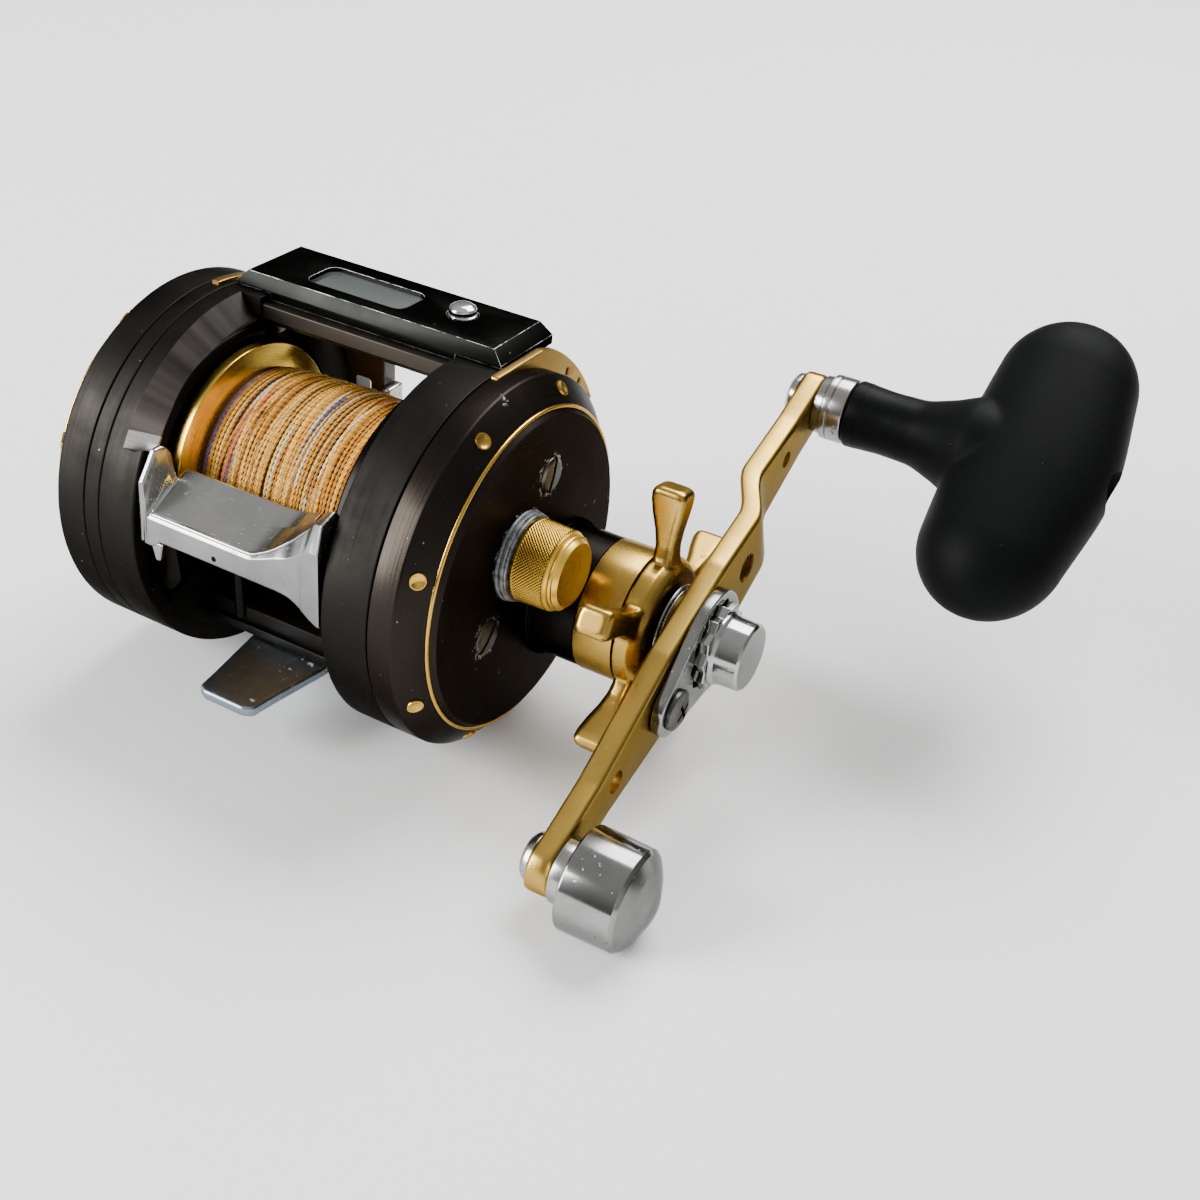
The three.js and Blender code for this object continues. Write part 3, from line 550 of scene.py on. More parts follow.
def braid_material():
    look = Look("braided_line")
    strand = look.put("Attribute", {"attribute_name": "strand"}).outputs["Color"]
    fuzz = look.noise(look.where, 5000.0)
    bloom = look.ramp(look.noise(look.where, 900.0, 3.0, 0.7), 0.48, 0.72, 0.0, 0.35)
    tint = look.mix(bloom, strand, (0.7, 0.47, 0.14))
    tint = look.mix(look.ramp(fuzz, 0.46, 0.66, 0.0, 0.65), tint, (0.16, 0.055, 0.006))
    return look.painted(tint, 0.6, fuzz, strength=0.6, distance=0.05, level=0.3)


def shaded_core_material():
    # The line under the wraps, painted dark brown as the shade in the gaps between them.
    look = Look("line_core")
    rings = look.noise(lines_about(look, SPOOL), 900.0)
    return look.painted(look.mix(rings, (0.05, 0.02, 0.005), (0.12, 0.05, 0.012)), 0.8)


def rubber():
    """Soft-touch black with a fine grain, shinier on the stem where hands have worn it."""
    look = Look("soft_touch_black")
    stem = look.ramp(look.split(look.where)[0], 60 * MM, 70 * MM, 1.0, 0.0)
    cloud = look.noise(look.where, 90.0, 4.0)
    rough = look.less(look.ramp(cloud, 0.3, 0.7, 0.5, 0.62), look.times(stem, 0.14))
    tint = look.mix(look.times(look.spots(1300.0, 0.77), 0.5), (0.0022, 0.0026, 0.0026), (0.1, 0.1, 0.1))
    return look.painted(tint, rough, look.noise(look.where, 2600.0, 3.0, 0.7), strength=0.35, distance=0.08,
                        level=0.05)


def nylon_material():
    look = Look("white_nylon")
    field = look.noise(look.where, 300.0, 3.0)
    return look.painted(look.mix(field, (0.75, 0.73, 0.68), (0.66, 0.64, 0.58)), 0.45)


# ---------------------------------------------------------------- side covers
def sided(sign, points):
    """A profile on the right (1) or, mirrored, on the left (-1)."""
    return [(sign * x, *rest) for x, *rest in points]


def side_cover(side, sign, band0, band1, material):
    """A cover: band, conical shoulder with rivets, gold ring in its groove, rim and flat face."""
    section = [
        (band0, 24.6), (band0, PLATE_R, 0.18), (band1, PLATE_R, 0.5), (band1 + 2.82, 22.86, 0.05),
        (band1 + 2.82, 22.5), (band1 + 3.05, 22.3, 0.05), (band1 + 3.8, 21.69, 0.12),
        (band1 + 3.8, 0.0), (band1 + 3.0, 0.0), (band1 + 3.0, 21.3), (band1 - 0.3, 24.6),
    ]
    finished(side + "_cover_shell", turned(sided(sign, section), PLATE), "frame",
             material, side + "_cover", 24)
    ring = circle((band1 + 2.95, 22.5), 0.3, 12)
    finished(side + "_trim", turned(sided(sign, ring), PLATE), "frame", gold_ring,
             side + "_trim_ring", 60)
    for k in range(8):
        dimple(f"{side}_dimple_{k + 1}", sign, band1, math.radians(22.5 + 45 * k))


def dimple(name, sign, band1, angle):
    """A dished gold rivet set in the conical shoulder."""
    across = [(-0.12, 0.0), (-0.08, 0.45), (0.04, 0.8), (0.1, 0.97), (0.08, 1.08), (-0.1, 1.15), (-0.6, 1.15),
              (-0.6, 0.0)]
    normal = Vector((sign * 0.741, *polar((0, 0), 0.672, angle)))
    spin = Vector((1, 0, 0)).rotation_difference(normal).to_matrix().to_4x4()
    place = Matrix.Translation((sign * (band1 + 1.54), *polar(PLATE, 24.52, angle)))
    finished(name, moved(turned(across, (0, 0), 28), place @ spin), "frame", gold_ring,
             sharp=50)


side_cover("right", 1, 22.35, 25.9, black_face)
side_cover("left", -1, 23.78, 28.3, black_body)
spacer = [(-23.62, 24.0), (-23.62, PLATE_R, 0.16), (-21.2, PLATE_R, 0.16), (-21.2, 24.0)]
finished("spacer_band", turned(spacer, PLATE), "frame", black_body, "left_spacer_ring")


# ---------------------------------------------------------------- frame
def wedge(a0, a1, x0, x1, lean=0.0):
    """A pie slice between two angles; lean turns its last face by that many degrees from x0 to x1."""
    return skin([[(x, y, z) for y, z in (PLATE, *arc(PLATE, 60, a0, a1 + more, 4))]
                 for x, more in ((x0, 0.0), (x1, lean))])


def frame_ring(side, sign, outer_x, rim_x, lip_x, bore_to, cut_x):
    """One bored ring of the frame, its upper rear rim cut back by a bevel."""
    wall_x, low_x, inner_x, bore_r = 17.0, 17.17, 14.6, 16.4
    disc = turned(sided(sign, [(outer_x, 0), (outer_x, PLATE_R, 0.18), (rim_x, PLATE_R, 0.3),
                               (rim_x, 23.5, 0.2), (wall_x, 23.3, 0.3), (wall_x, 0)]), PLATE)
    bevel = turned(sided(sign, [(cut_x, 26.25), (cut_x - 3.0, 23.0), (inner_x, 22.9), (inner_x, 26.25)]),
                   PLATE)
    bevel = combined(bevel, [wedge(88, BEVEL_END, sign * 20, sign * 14, BEVEL_LEAN)], "INTERSECT")
    lower = turned(sided(sign, [(low_x, 17), (low_x, 25.0), (rim_x + 0.02, 25.0), (rim_x + 0.02, 17)]), PLATE)
    lower = combined(lower, [wedge(211, 329, *sorted((sign * 14, sign * 20)))], "INTERSECT")
    bore = cylinder(sign * 14, sign * bore_to, bore_r, SPOOL, 128)
    finished("frame_ring_" + side, combined(combined(disc, [lower], "UNION"), [bevel, bore]), "frame",
             black_body, "frame", 24)
    lip = sided(sign, [(wall_x + 0.4, 16.42), (wall_x + 0.4, 18.2), (lip_x + 0.5, 18.2, 0.4),
                       (lip_x, 17.5, 0.3), (lip_x, 16.42, 0.3)])
    finished("frame_lip_" + side, turned(lip, SPOOL, 128), "frame", black_inner, "frame")


def top_beam():
    """The bar under the counter, chamfered along its front and flared where it meets each ring."""
    side = [(-17.2, 45.0), (17.2, 45.0), (17.2, 37.6), (14.6, 38.4), (11.4, 41.5), (-12.6, 41.5),
            (-15.4, 39.2), (-17.2, 38.6)]
    chamfer = skin([[(x, 1.0, 43.2), (x, 3.4, 41.2), (x, 1.0, 38.0)] for x in (-20, 20)])
    return combined(plate("xz", side, 1.2, 8.2, 0.2), [chamfer])


frame_ring("left", -1, 21.1, 15.2, 15.2, 24, 18.7)
frame_ring("right", 1, 22.2, 15.3, 12.3, 19, 17.6)
strip = turned([(-18.44, 26.02), (-15.7, 23.05), (-15.7, 22.6), (-18.44, 25.6)], PLATE)
strip = combined(strip, [wedge(88, BEVEL_END, -20, -14, BEVEL_LEAN)], "INTERSECT")
# the bevel strip carries the painted highlight
finished("left_bevel_face", strip, "frame", milled_black_highlit)
finished("top_beam", top_beam(), "frame", black_beam, "frame", 25)
for name, y, z0, z1 in (("upper", 12.5, 3.1, 5.8), ("lower", 13.2, 1.9, 3.3)):
    finished("bottom_plate_" + name, block((-17.2, -y, z0), (17.2, y, z1), 0.2), "frame",
             black_body, "frame", 25)


# ---------------------------------------------------------------- brackets and counter
def slot_hole(at, angle, length=1.15, width=0.6):
    """A small round-ended slot, turned by an angle in degrees."""
    end = (length - width) / 2
    loop = arc((end, 0), width / 2, -90, 90, 6) + arc((-end, 0), width / 2, 90, 270, 6)
    c, s = math.cos(math.radians(angle)), math.sin(math.radians(angle))
    return [(at[0] + u * c - v * s, at[1] + u * s + v * c) for u, v in loop]


foot_edge = arc(PLATE, 22.2, 90, 29, 30)
right_outline = [*arc(PLATE, 28.8, 29, 62, 24), (10.6, 46.3, 1.5), (-0.3, 46.4, 0.4), *foot_edge]
left_outline = [*arc(PLATE, 26.55, 29, 89, 40), *foot_edge]
bracket_slots = [slot_hole((17.4, 40.7), 75), slot_hole((20.8, 37.9), 60), slot_hole((23.6, 34.4), 45)]
finished("right_counter_bracket", plate("yz", right_outline, 22.35, 23.55, 0.22, bracket_slots), "frame",
         gold_plate, "right_bracket", 35)
finished("left_counter_bracket", plate("yz", left_outline, -23.2, -21.9, 0.15), "frame",
         gold_plate, "left_bracket", 35)

TOP_Z, SHOULDER_Z, BASE_Z = 48.1, 46.4, 45.1
BUTTON = (11.35, 9.94)


def soft_rectangle(x0, x1, y0, y1, r=1.6):
    corners = ((x1 - r, y0 + r, -90), (x1 - r, y1 - r, 0), (x0 + r, y1 - r, 90), (x0 + r, y0 + r, 180))
    return [p for x, y, a in corners for p in arc((x, y), r, a, a + 90, 8)]


def prism(outline, z0, z1):
    return skin([[(x, y, z) for x, y in outline] for z in (z0, z1)])


def counter_case():
    """A box with sloping sides, saddled over the frame's rings, with worn bare edges."""
    skirt = [(-20.9, 2.8), (22.0, 2.8), (22.0, 15.5), (-20.9, 15.5)]
    top = [(-19.3, 3.55), (20.4, 3.55), (20.4, 14.77), (-19.3, 14.77)]
    lid = skin([[(x, y, z) for x, y in ring] for ring, z in
                ((skirt, BASE_Z), (skirt, SHOULDER_Z), (top, TOP_Z))])
    lid = combined(lid, [prism(soft_rectangle(-11.5, 4.5, 5.7, 12.1), 46.9, 49),
                         prism(circle(BUTTON, 2.15, 40), 47.3, 49),
                         cylinder(-30, -15, 26.2, PLATE, 96), cylinder(15, 30, 26.2, PLATE, 96)])
    for material in (black_box, worn_edge()):
        lid.materials.append(material)
    return modified(lid, ("BEVEL", {"width": 0.2, "segments": 3, "limit_method": "ANGLE",
                                    "angle_limit": math.radians(32), "material": 1}))


def counter():
    finished("counter_case", counter_case(), "frame", None, "counter_housing", 25)
    screw = [(TOP_Z - 0.3, 0), (TOP_Z - 0.3, 0.5), (TOP_Z + 0.02, 0.5, 0.05), (TOP_Z + 0.02, 0.3),
             (TOP_Z - 0.12, 0.26), (TOP_Z - 0.12, 0)]
    for k, at in enumerate([(-18.0, 4.9), (-18.0, 13.5), (19.1, 4.9), (19.1, 13.5)]):
        finished(f"counter_screw_{k + 1}", turned_up(screw, at, 24), "frame", black_inner)
    bezel = display_material("display_bezel", (0.03, 0.034, 0.033), (0.06, 0.066, 0.064), 0.25, 0.4)
    lcd = display_material("display_lcd", (0.062, 0.076, 0.069), (0.036, 0.043, 0.04), 0.3, 0.3)
    glass = plate("xy", soft_rectangle(-11.45, 4.45, 5.75, 12.05), 46.9, 47.55, 0.06)
    finished("display_glass", glass, "frame", bezel, "counter_window")
    panel = plate("xy", soft_rectangle(-10.4, 3.4, 6.6, 11.2, 0.4), 47.4, 47.58, 0.02)
    finished("display_panel", panel, "frame", lcd)
    push = [(46.0, 0), (46.0, 2.0), (48.2, 2.0, 0.1), (48.3, 1.85), (48.45, 1.9), (49.1, 1.86, 0.5),
            (49.55, 1.2, 1.0), (49.75, 0)]
    finished("counter_push", turned_up(push, BUTTON, 64), "button", chrome_bright,
             "counter_button", 40)


counter()


# ---------------------------------------------------------------- foot
FOOT_X, FOOT_SCREW_Y = -0.9, 9
foot_half = [(-26.6, 3.2, 1.2), (-25.9, 4.6, 1.0), (-22, 5.1, 3), (-13, 6.55, 6), (13, 6.55, 6), (22, 5.1, 3),
             (26.6, 4.7, 1.0), (27.4, 3.4, 1.2)]
foot_outline = [(FOOT_X + w, y, f) for y, w, f in foot_half]
foot_outline += [(FOOT_X - w, y, f) for y, w, f in reversed(foot_half)]
foot_holes = [circle((FOOT_X, y), 2.45) for y in (-FOOT_SCREW_Y, FOOT_SCREW_Y)]
finished("foot_plate", plate("xy", foot_outline, 0.0, 1.6, 0.45, foot_holes, 5), "frame",
         chrome_foot, "reel_foot", 40)
for end, y in (("front", -FOOT_SCREW_Y), ("rear", FOOT_SCREW_Y)):
    head = turned_up([(0.1, 0), (0.1, 2.35, 0.2), (0.9, 2.35), (0.9, 1.15), (4.7, 1.15), (4.7, 0)],
                     (FOOT_X, y))
    head = combined(head, [block((-4, y - 0.3, -1), (3, y + 0.3, 0.5))])
    finished("foot_fixing_" + end, head, "frame", screw_steel, "foot_screw_" + end)


# ---------------------------------------------------------------- spool and line
spool = [
    (-15, 16.1, 0.1), (-13.6, 16.15, 0.14), (-12.72, 13.1, 0.5), (-12.1, 8), (9.9, 8), (10.8, 14, 0.3),
    (11.8, 16.15, 0.14), (14.6, 16.15, 0.1), (14.6, 14.6, 0.1), (12.6, 12.6), (12.1, 5), (14.6, 4),
    (14.6, 1.56), (-16, 1.56), (-16, 4), (-13.6, 5), (-14.1, 12.6), (-15, 14.6, 0.1),
]
finished("spool_turned", turned(spool, SPOOL), "spool", gold_spool, "spool")

LINE_X = (-12.25, 10.5)
LINE_PITCH, STRAND_R = 0.52, 0.15
TONES = [(0.62, 0.29, 0.022), (0.72, 0.39, 0.05), (0.42, 0.17, 0.012), (0.76, 0.47, 0.09),
         (0.58, 0.25, 0.018), (0.28, 0.10, 0.008), (0.66, 0.33, 0.03)]
MARKS = [(0.05, 0.05, 0.2), (0.72, 0.66, 0.52), (0.04, 0.05, 0.16), (0.5, 0.12, 0.08), (0.6, 0.55, 0.45)]


def braid():
    """Wraps of two-ply line round the spool, each with its own lean, and a colour for each stretch."""
    steps, sides, twists = 360, 5, 50
    theta = np.linspace(0, TURN, steps, endpoint=False)
    verts, faces, colours = [], [], []
    count = int((LINE_X[1] - LINE_X[0]) / LINE_PITCH)
    wraps = [(LINE_X[0] + 0.3 + LINE_PITCH * i, random.uniform(-0.08, 0.08), 0.2) for i in range(count)]
    wraps += [(random.uniform(-10.5, 8.6), 0.14, random.uniform(0.5, 1.5)) for _ in range(26)]
    for x0, lift, lean in wraps:
        phase = random.uniform(0, TURN)
        x = x0 + lean * np.sin(theta + phase) + 0.05 * np.sin(3 * theta + 2 * phase)
        x = np.clip(x, LINE_X[0] + 0.05, LINE_X[1] - 0.05)
        r = np.interp(x, [-12.6, -11, -6, 1, 6, 10.5], [12.9, 13.15, 13.4, 13.75, 13.7, 13.5])
        r = r + lift + 0.05 * np.sin(2 * theta + 3 * phase)
        base = np.array(TONES[random.integers(len(TONES))]) * random.uniform(0.85, 1.12)
        mark, marked = base, np.zeros(steps, bool)
        if random.random() < (0.85 if -9.6 < x0 < -5.2 else 0.4):
            mark = np.array(MARKS[random.integers(len(MARKS))])
            start, span = random.uniform(0, TURN), random.uniform(0.5, 2.2)
            marked = ((theta - start) % TURN) < span
        for ply, shade in enumerate((1.08, 0.9)):
            turn = twists * theta + math.pi * ply
            cx, cr = x + 0.11 * np.cos(turn), r + 0.05 * np.sin(turn)
            plain = base * shade
            faces += tube_faces(steps, sides, len(verts), endless=True)
            for k in range(steps):
                for a in around(sides):
                    place = polar(SPOOL, cr[k] + 0.14 * math.sin(a), theta[k])
                    verts.append((cx[k] + STRAND_R * math.cos(a), *place))
                    colours.append((*(mark if marked[k] else plain), 1.0))
    mesh = mesh_of(verts, faces)
    layer = mesh.color_attributes.new("strand", "FLOAT_COLOR", "POINT")
    layer.data.foreach_set("color", np.array(colours, np.float32).ravel())
    return mesh


finished("line_braid", braid(), "spool", braid_material(), "line_pack", 180)
core = [(-12.3, 8.05), (-12.62, 12.8), (-11, 13.0), (-6, 13.25), (1, 13.6), (6, 13.5), (10.6, 13.3),
        (9.9, 8.05)]
finished("line_core", turned(core, SPOOL, 128), "spool", shaded_core_material(), "line_pack")
finished("spool_axle", cylinder(-29.4, 35.2, 1.5, SPOOL, soft=0.2), "spool", steel, "spool_shaft")


# ---------------------------------------------------------------- thumb bar
SADDLE = ((-17.5, 29.3), (-20.7, 27.5), (-24.7, 25.3), (-25.25, 24.7), (-25.3, 21.5), (-23.8, 21.5))
LEFT_EAR = ((-19.5, 31.6), (-20.2, 32.9), (-22, 32.9), (-24.6, 29.2), (-25.2, 20.5), (-23.8, 20.5))
THUMB_KEYS = (  # x, then (y, z) of the back edge, top, crest, front and the skirt's two bottom corners
    (-14.75, LEFT_EAR),
    (-14.1, LEFT_EAR),
    (-13.7, ((-19.5, 31.5), (-20.2, 32.7), (-21.9, 31.6), (-24.8, 27.0), (-25.3, 20.4), (-23.8, 20.4))),
    (-13.1, ((-19.5, 29.4), (-20.4, 29.1), (-23.8, 26), (-25.2, 24.9), (-25.3, 20.4), (-23.8, 20.4))),
    (-12.55, ((-19.4, 28.2), (-20.7, 27.5), (-24.7, 25.3), (-25.25, 24.7), (-25.3, 20.5), (-23.8, 20.5))),
    (-12.3, ((-17.7, 29.2), (-20.7, 27.5), (-24.7, 25.3), (-25.25, 24.7), (-25.3, 20.6), (-23.8, 20.6))),
    (-11, SADDLE),
    (3, SADDLE),
    (5.2, ((-17.5, 29.4), (-20.6, 27.8), (-24.6, 26.1), (-25.25, 25.3), (-25.3, 21.5), (-23.8, 21.5))),
    (7.4, ((-17.5, 29.7), (-20.5, 28.6), (-24.3, 27.4), (-25.2, 26.2), (-25.3, 21.5), (-23.8, 21.5))),
    (9.5, ((-17.7, 30.2), (-20.4, 29.8), (-23.8, 29.1), (-25.2, 27), (-25.3, 21.3), (-23.9, 21.3))),
    (9.85, ((-19.4, 30.1), (-20.8, 30), (-23.8, 29.4), (-25.2, 27.2), (-25.3, 21.2), (-23.9, 21.2))),
    (11.6, ((-19.4, 31.1), (-20.8, 31.5), (-23.8, 31.1), (-25.3, 28.3), (-25.4, 20.4), (-24, 20.4))),
    (11.95, ((-21.2, 31.6), (-21.7, 31.9), (-23.8, 31.4), (-25.4, 28.5), (-25.5, 20.2), (-24.1, 20.2))),
    (13.6, ((-21.2, 32.9), (-21.8, 33.7), (-24.2, 33.1), (-25.6, 29.6), (-25.7, 19.3), (-24.2, 19.3))),
    (14.85, ((-21.2, 33.4), (-21.9, 34.3), (-24.6, 33.4), (-25.7, 29.6), (-25.8, 18.9), (-24.2, 18.9))),
)
THUMB_FILLETS = (0.4, 1.6, 0.35, 0.6, 0.4, 0.3, 0.8, 0.3)


def thumb_row(x):
    """The (y, z) corners of the thumb bar at x: a cubic through the keys that never overshoots them."""
    xs = np.array([key for key, row in THUMB_KEYS])
    rows = np.array([[*row, (-22.4, 24), (row[0][0] - 0.2, 27.6)] for key, row in THUMB_KEYS])
    steps = np.diff(xs)
    slopes = np.diff(rows, axis=0) / steps[:, None, None]
    product, total = slopes[:-1] * slopes[1:], slopes[:-1] + slopes[1:]
    tangents = np.zeros(rows.shape)
    tangents[1:-1] = np.where(product > 0, 2 * product / np.where(product > 0, total, 1), 0)
    k = int(np.clip(np.searchsorted(xs, x) - 1, 0, len(xs) - 2))
    t = (x - xs[k]) / steps[k]
    return ((2 * t ** 3 - 3 * t ** 2 + 1) * rows[k] + (t ** 3 - 2 * t ** 2 + t) * steps[k] * tangents[k]
            + (3 * t ** 2 - 2 * t ** 3) * rows[k + 1] + (t ** 3 - t ** 2) * steps[k] * tangents[k + 1])


def thumb_bar():
    """The bar as a skin over its rows, slightly drawn in at both ends, and cut clear of the spool."""
    first, last = THUMB_KEYS[0][0], THUMB_KEYS[-1][0]
    sections = []
    for x in np.arange(first, last + 1e-6, 0.1):
        ring = rounded([(*p, r) for p, r in zip(thumb_row(x), THUMB_FILLETS)], 6)
        end = min(x - first, last - x)
        inset = 1 - 0.03 * (1 - math.sqrt(max(0.0, 1 - (1 - min(end / 0.4, 1)) ** 2)))
        cy, cz = (sum(p[i] for p in ring) / len(ring) for i in (0, 1))
        sections.append([(x, cy + (y - cy) * inset, cz + (z - cz) * inset) for y, z in ring])
    rooms = [cylinder(x0, x1, r, (SPOOL[0], SPOOL[1] + lift), 96)
             for x0, x1, r in ((-16, -12.5, 16.5), (9.9, 12.0, 16.5), (12.0, 16, 18.5)) for lift in (0, 4)]
    return combined(skin(sections), rooms)


def thumb_bead():
    """The rolled lip along the saddle's front edge."""
    sections = []
    for x in np.arange(-13.5, 13.41, 0.15):
        y, z = thumb_row(x)[2]
        r = 0.34 * min(1.0, (x + 13.6) / 1.2, (13.5 - x) / 2.5)
        sections.append([(x, *p) for p in circle((y + 0.05, z - 0.17), r, 14)])
    return skin(sections)


finished("thumb_saddle", thumb_bar(), "thumb_bar", chrome_bar, "thumb_bar", 45)
finished("thumb_lip_roll", thumb_bead(), "thumb_bar", chrome_bar, sharp=60)
lug = [(-12.9, 21.3, 0.1), (-10.8, 21.3, 0.1), (-11.5, 18.6, 0.35), (-12.2, 18.6, 0.35)]
finished("thumb_lug", plate("xz", lug, -25.2, -24.3, 0.15), "thumb_bar", chrome_bar)
mark = turned([(0, 0), (0, 0.42, 0.1), (0.25, 0.42), (0.25, 0)], (0, 0), 24)
mark = moved(mark, Matrix.Translation((-2.1, -25.32, 22.6)) @ Matrix.Rotation(math.pi / 2, 4, "Z"))
finished("thumb_dimple", mark, "thumb_bar", black_inner)
post = [(11.5, 0), (11.5, 0.75, 0.2), (20.6, 0.75), (20.6, 0)]
finished("thumb_post", turned_up(post, (-2.0, -20.9), 32), "thumb_bar", black_inner)
link = [(-14.4, 19.5, 0.5), (-11.2, 19.5, 0.5), (-10.6, 14.5, 1.5), (-12.4, 12.2, 1.2), (-14.4, 12.6, 0.8)]
finished("thumb_link", plate("xz", link, -22.6, -21.8, 0.15), "thumb_bar", black_inner)


# ---------------------------------------------------------------- cap, hub and star
def knurl(x0, x1, r0, r1, count=76, depth=0.17, bore=5.0):
    """A sleeve with a fine diamond knurl round the cap's turned body."""
    pitch = math.pi * (r0 + r1) / count
    n, rows = count * 6, int((x1 - x0) / (pitch / 6))
    verts = []
    for i in range(rows + 1):
        x = x0 + (x1 - x0) * i / rows
        fade = min(1, i / 3, (rows - i) / 3)
        for a in around(n):
            u, v = a * count / 2, math.pi * (x - x0) / pitch
            h = (abs(math.sin(u + v)) + abs(math.sin(u - v))) / 2
            verts.append((x, *polar(SPOOL, r0 + (r1 - r0) * i / rows - depth * (1 - h) * fade, a)))
    verts += [(x, *p) for x in (x1, x0) for p in circle(SPOOL, bore, n)]
    return mesh_of(verts, tube_faces(rows + 3, n, endless=True))


cap = [(31.45, 4.4), (31.45, 5.3, 0.1), (31.75, 5.45), (32.2, 5.3), (36.2, 5.2), (36.45, 5.42, 0.06),
       (36.75, 5.12, 0.05), (36.85, 4.85), (36.95, 5.1, 0.08), (37.3, 5.06, 0.1), (37.35, 4.75),
       (38.0, 4.35, 0.08), (37.95, 4.15, 0.06), (36.6, 0), (35.4, 0), (35.4, 4.4)]
collar = [(29.72, 4.4), (29.72, 6.3, 0.15), (30.1, 6.2, 0.1), (30.25, 6.0), (30.4, 6.15, 0.1),
          (30.75, 6.1, 0.1), (30.9, 5.9), (31.05, 6.0, 0.1), (31.3, 5.9, 0.1), (31.3, 4.4)]
finished("cap_body", turned(cap, SPOOL, 128), "cast_cap", gold_cap, "cast_control_cap")
finished("cap_knurl", knurl(31.85, 36.35, 5.75, 5.5), "cast_cap", gold_knurl,
         "cast_control_cap", 180)
finished("cap_worn_collar", turned(collar, SPOOL, 128), "frame", collar_worn, "cap_collar")

for which, at, turn in (("upper", FACE_SCREWS[0], 1.25), ("lower", FACE_SCREWS[1], 0.75)):
    head = turned([(29.0, 0), (29.0, 2.5), (29.95, 2.5, 0.2), (30.15, 2.0, 0.5), (30.25, 0)], at, 64)
    finished("face_slot_screw_" + which, slotted(head, at, 29.55, 0.32, turn=turn), "frame",
             worn_brass, "face_screw_" + which)

hub = [(29.72, 6.16), (29.72, 9.95, 0.12), (30.5, 9.95, 0.2), (30.55, 9.35, 0.1), (37.2, 9.35, 0.15),
       (37.2, 6.16)]
sleeve = [(37.3, 4.1), (37.3, 9.45, 0.12), (43.15, 9.45, 0.08), (43.15, 4.1)]
finished("hub_cylinder", turned(hub, HANDLE), "frame", black_hub, "bearing_housing")
finished("sleeve_gold", turned(sleeve, HANDLE), "handle", gold_hub, "drag_sleeve")


def star():
    """The five-armed wheel: a turned hub and flared arms, blended as a casting is."""
    parts = [turned([(43.25, 3.1), (43.25, 9.5, 0.1), (45.4, 9.5, 0.3), (46.3, 8.9, 0.5), (47.0, 8.2, 0.2),
                     (47.0, 3.1)], HANDLE, 128)]
    rows = [  # radius, then an arm's rear and front x and half its width there
        (6.5, 43.35, 46.2, 2.9), (8.5, 43.3, 46.2, 2.6), (10, 43.25, 46.0, 1.95), (11.5, 43.1, 45.9, 1.7),
        (13.5, 42.6, 46.0, 1.72), (15.5, 41.9, 46.2, 1.85), (17.5, 41.4, 46.35, 2.0),
        (18.6, 41.35, 46.35, 2.05), (19.2, 41.6, 46.1, 1.85), (19.5, 42.1, 45.6, 1.4),
    ]
    for k in range(5):
        t = math.radians(80 + 72 * k)
        sections = []
        for r, x0, x1, w in rows:
            ring = rounded([(x0, -w, 0.8), (x1, -w, 0.8), (x1, w, 0.8), (x0, w, 0.8)], 4)
            sections.append([(x, *polar(polar(HANDLE, r, t), n, t + math.pi / 2)) for x, n in ring])
        parts.append(skin(sections))
    return blended(parts, 0.2, 7)


washers = [(47.25, 3.2), (47.25, 5.6, 0.2), (47.6, 6.4, 0.15), (47.85, 6.4, 0.15), (47.95, 5.4),
           (48.1, 6.2, 0.1), (48.55, 5.4, 0.1), (48.55, 3.2)]
finished("star_wheel", star(), "star", gold_hub, "star_drag", 180)
finished("washer_stack", turned(washers, HANDLE, 96), "handle", steel, "spring_washers")


# ---------------------------------------------------------------- handle arm
def arm_front(s):
    """x of the arm's front face at s: it steps in on its way to the knob."""
    t = min(max((s - 17.5) / 9.03, 0), 1)
    return 52.1 - 3.43 * t * t * (3 - 2 * t)


def arm_half(s):
    """Half the arm's width at s, round at both ends."""
    w = 6.5 - 0.087 * max(s - 8, 0) if s >= 0 else 6.5 - 0.136 * max(-s - 8, 0)
    w = max(w, 3.9)
    over = max(s - KNOB_S, WEIGHT_S - s)
    return min(w, math.sqrt(max(4.1 ** 2 - over ** 2, 0.01))) if over > 0 else w


def arm():
    quarter = np.linspace(0, math.pi / 2, 14)
    stations = [*(WEIGHT_S - 4.09 * np.cos(quarter)), *np.arange(WEIGHT_S + 0.5, KNOB_S, 0.5),
                *(KNOB_S + 4.09 * np.sin(quarter))]
    sections = []
    for s in stations:
        w, front = arm_half(s), arm_front(s)
        soft = 0.9 + 0.6 * min(max((WEIGHT_S + 3 - s) / 4, 0), 1)
        ring = rounded([(front - 3.24, -w, 0.5), (front, -w, soft), (front, w, soft), (front - 3.24, w, 0.5)])
        sections.append([(x, *on_arm(s, n)) for x, n in ring])
    drills = [cylinder(40, 56, r, on_arm(s))
              for s, r in ((0, 2.9), (SPARE_S, 2.15), (33.46, 1.25), (-24.1, 1.6))]
    return combined(skin(sections), drills)


finished("arm_bent_bar", arm(), "handle", gold_arm, "handle_arm", 32)
thread = [(x, 2.2 - (0.28 if i % 2 else 0.0)) for i, x in enumerate(np.arange(49.3, 51.9, 0.2))]
finished("arm_thread", turned([(49.2, 2.5), *thread, (51.8, 2.5)], on_arm(SPARE_S), 40), "handle",
         gold_arm)

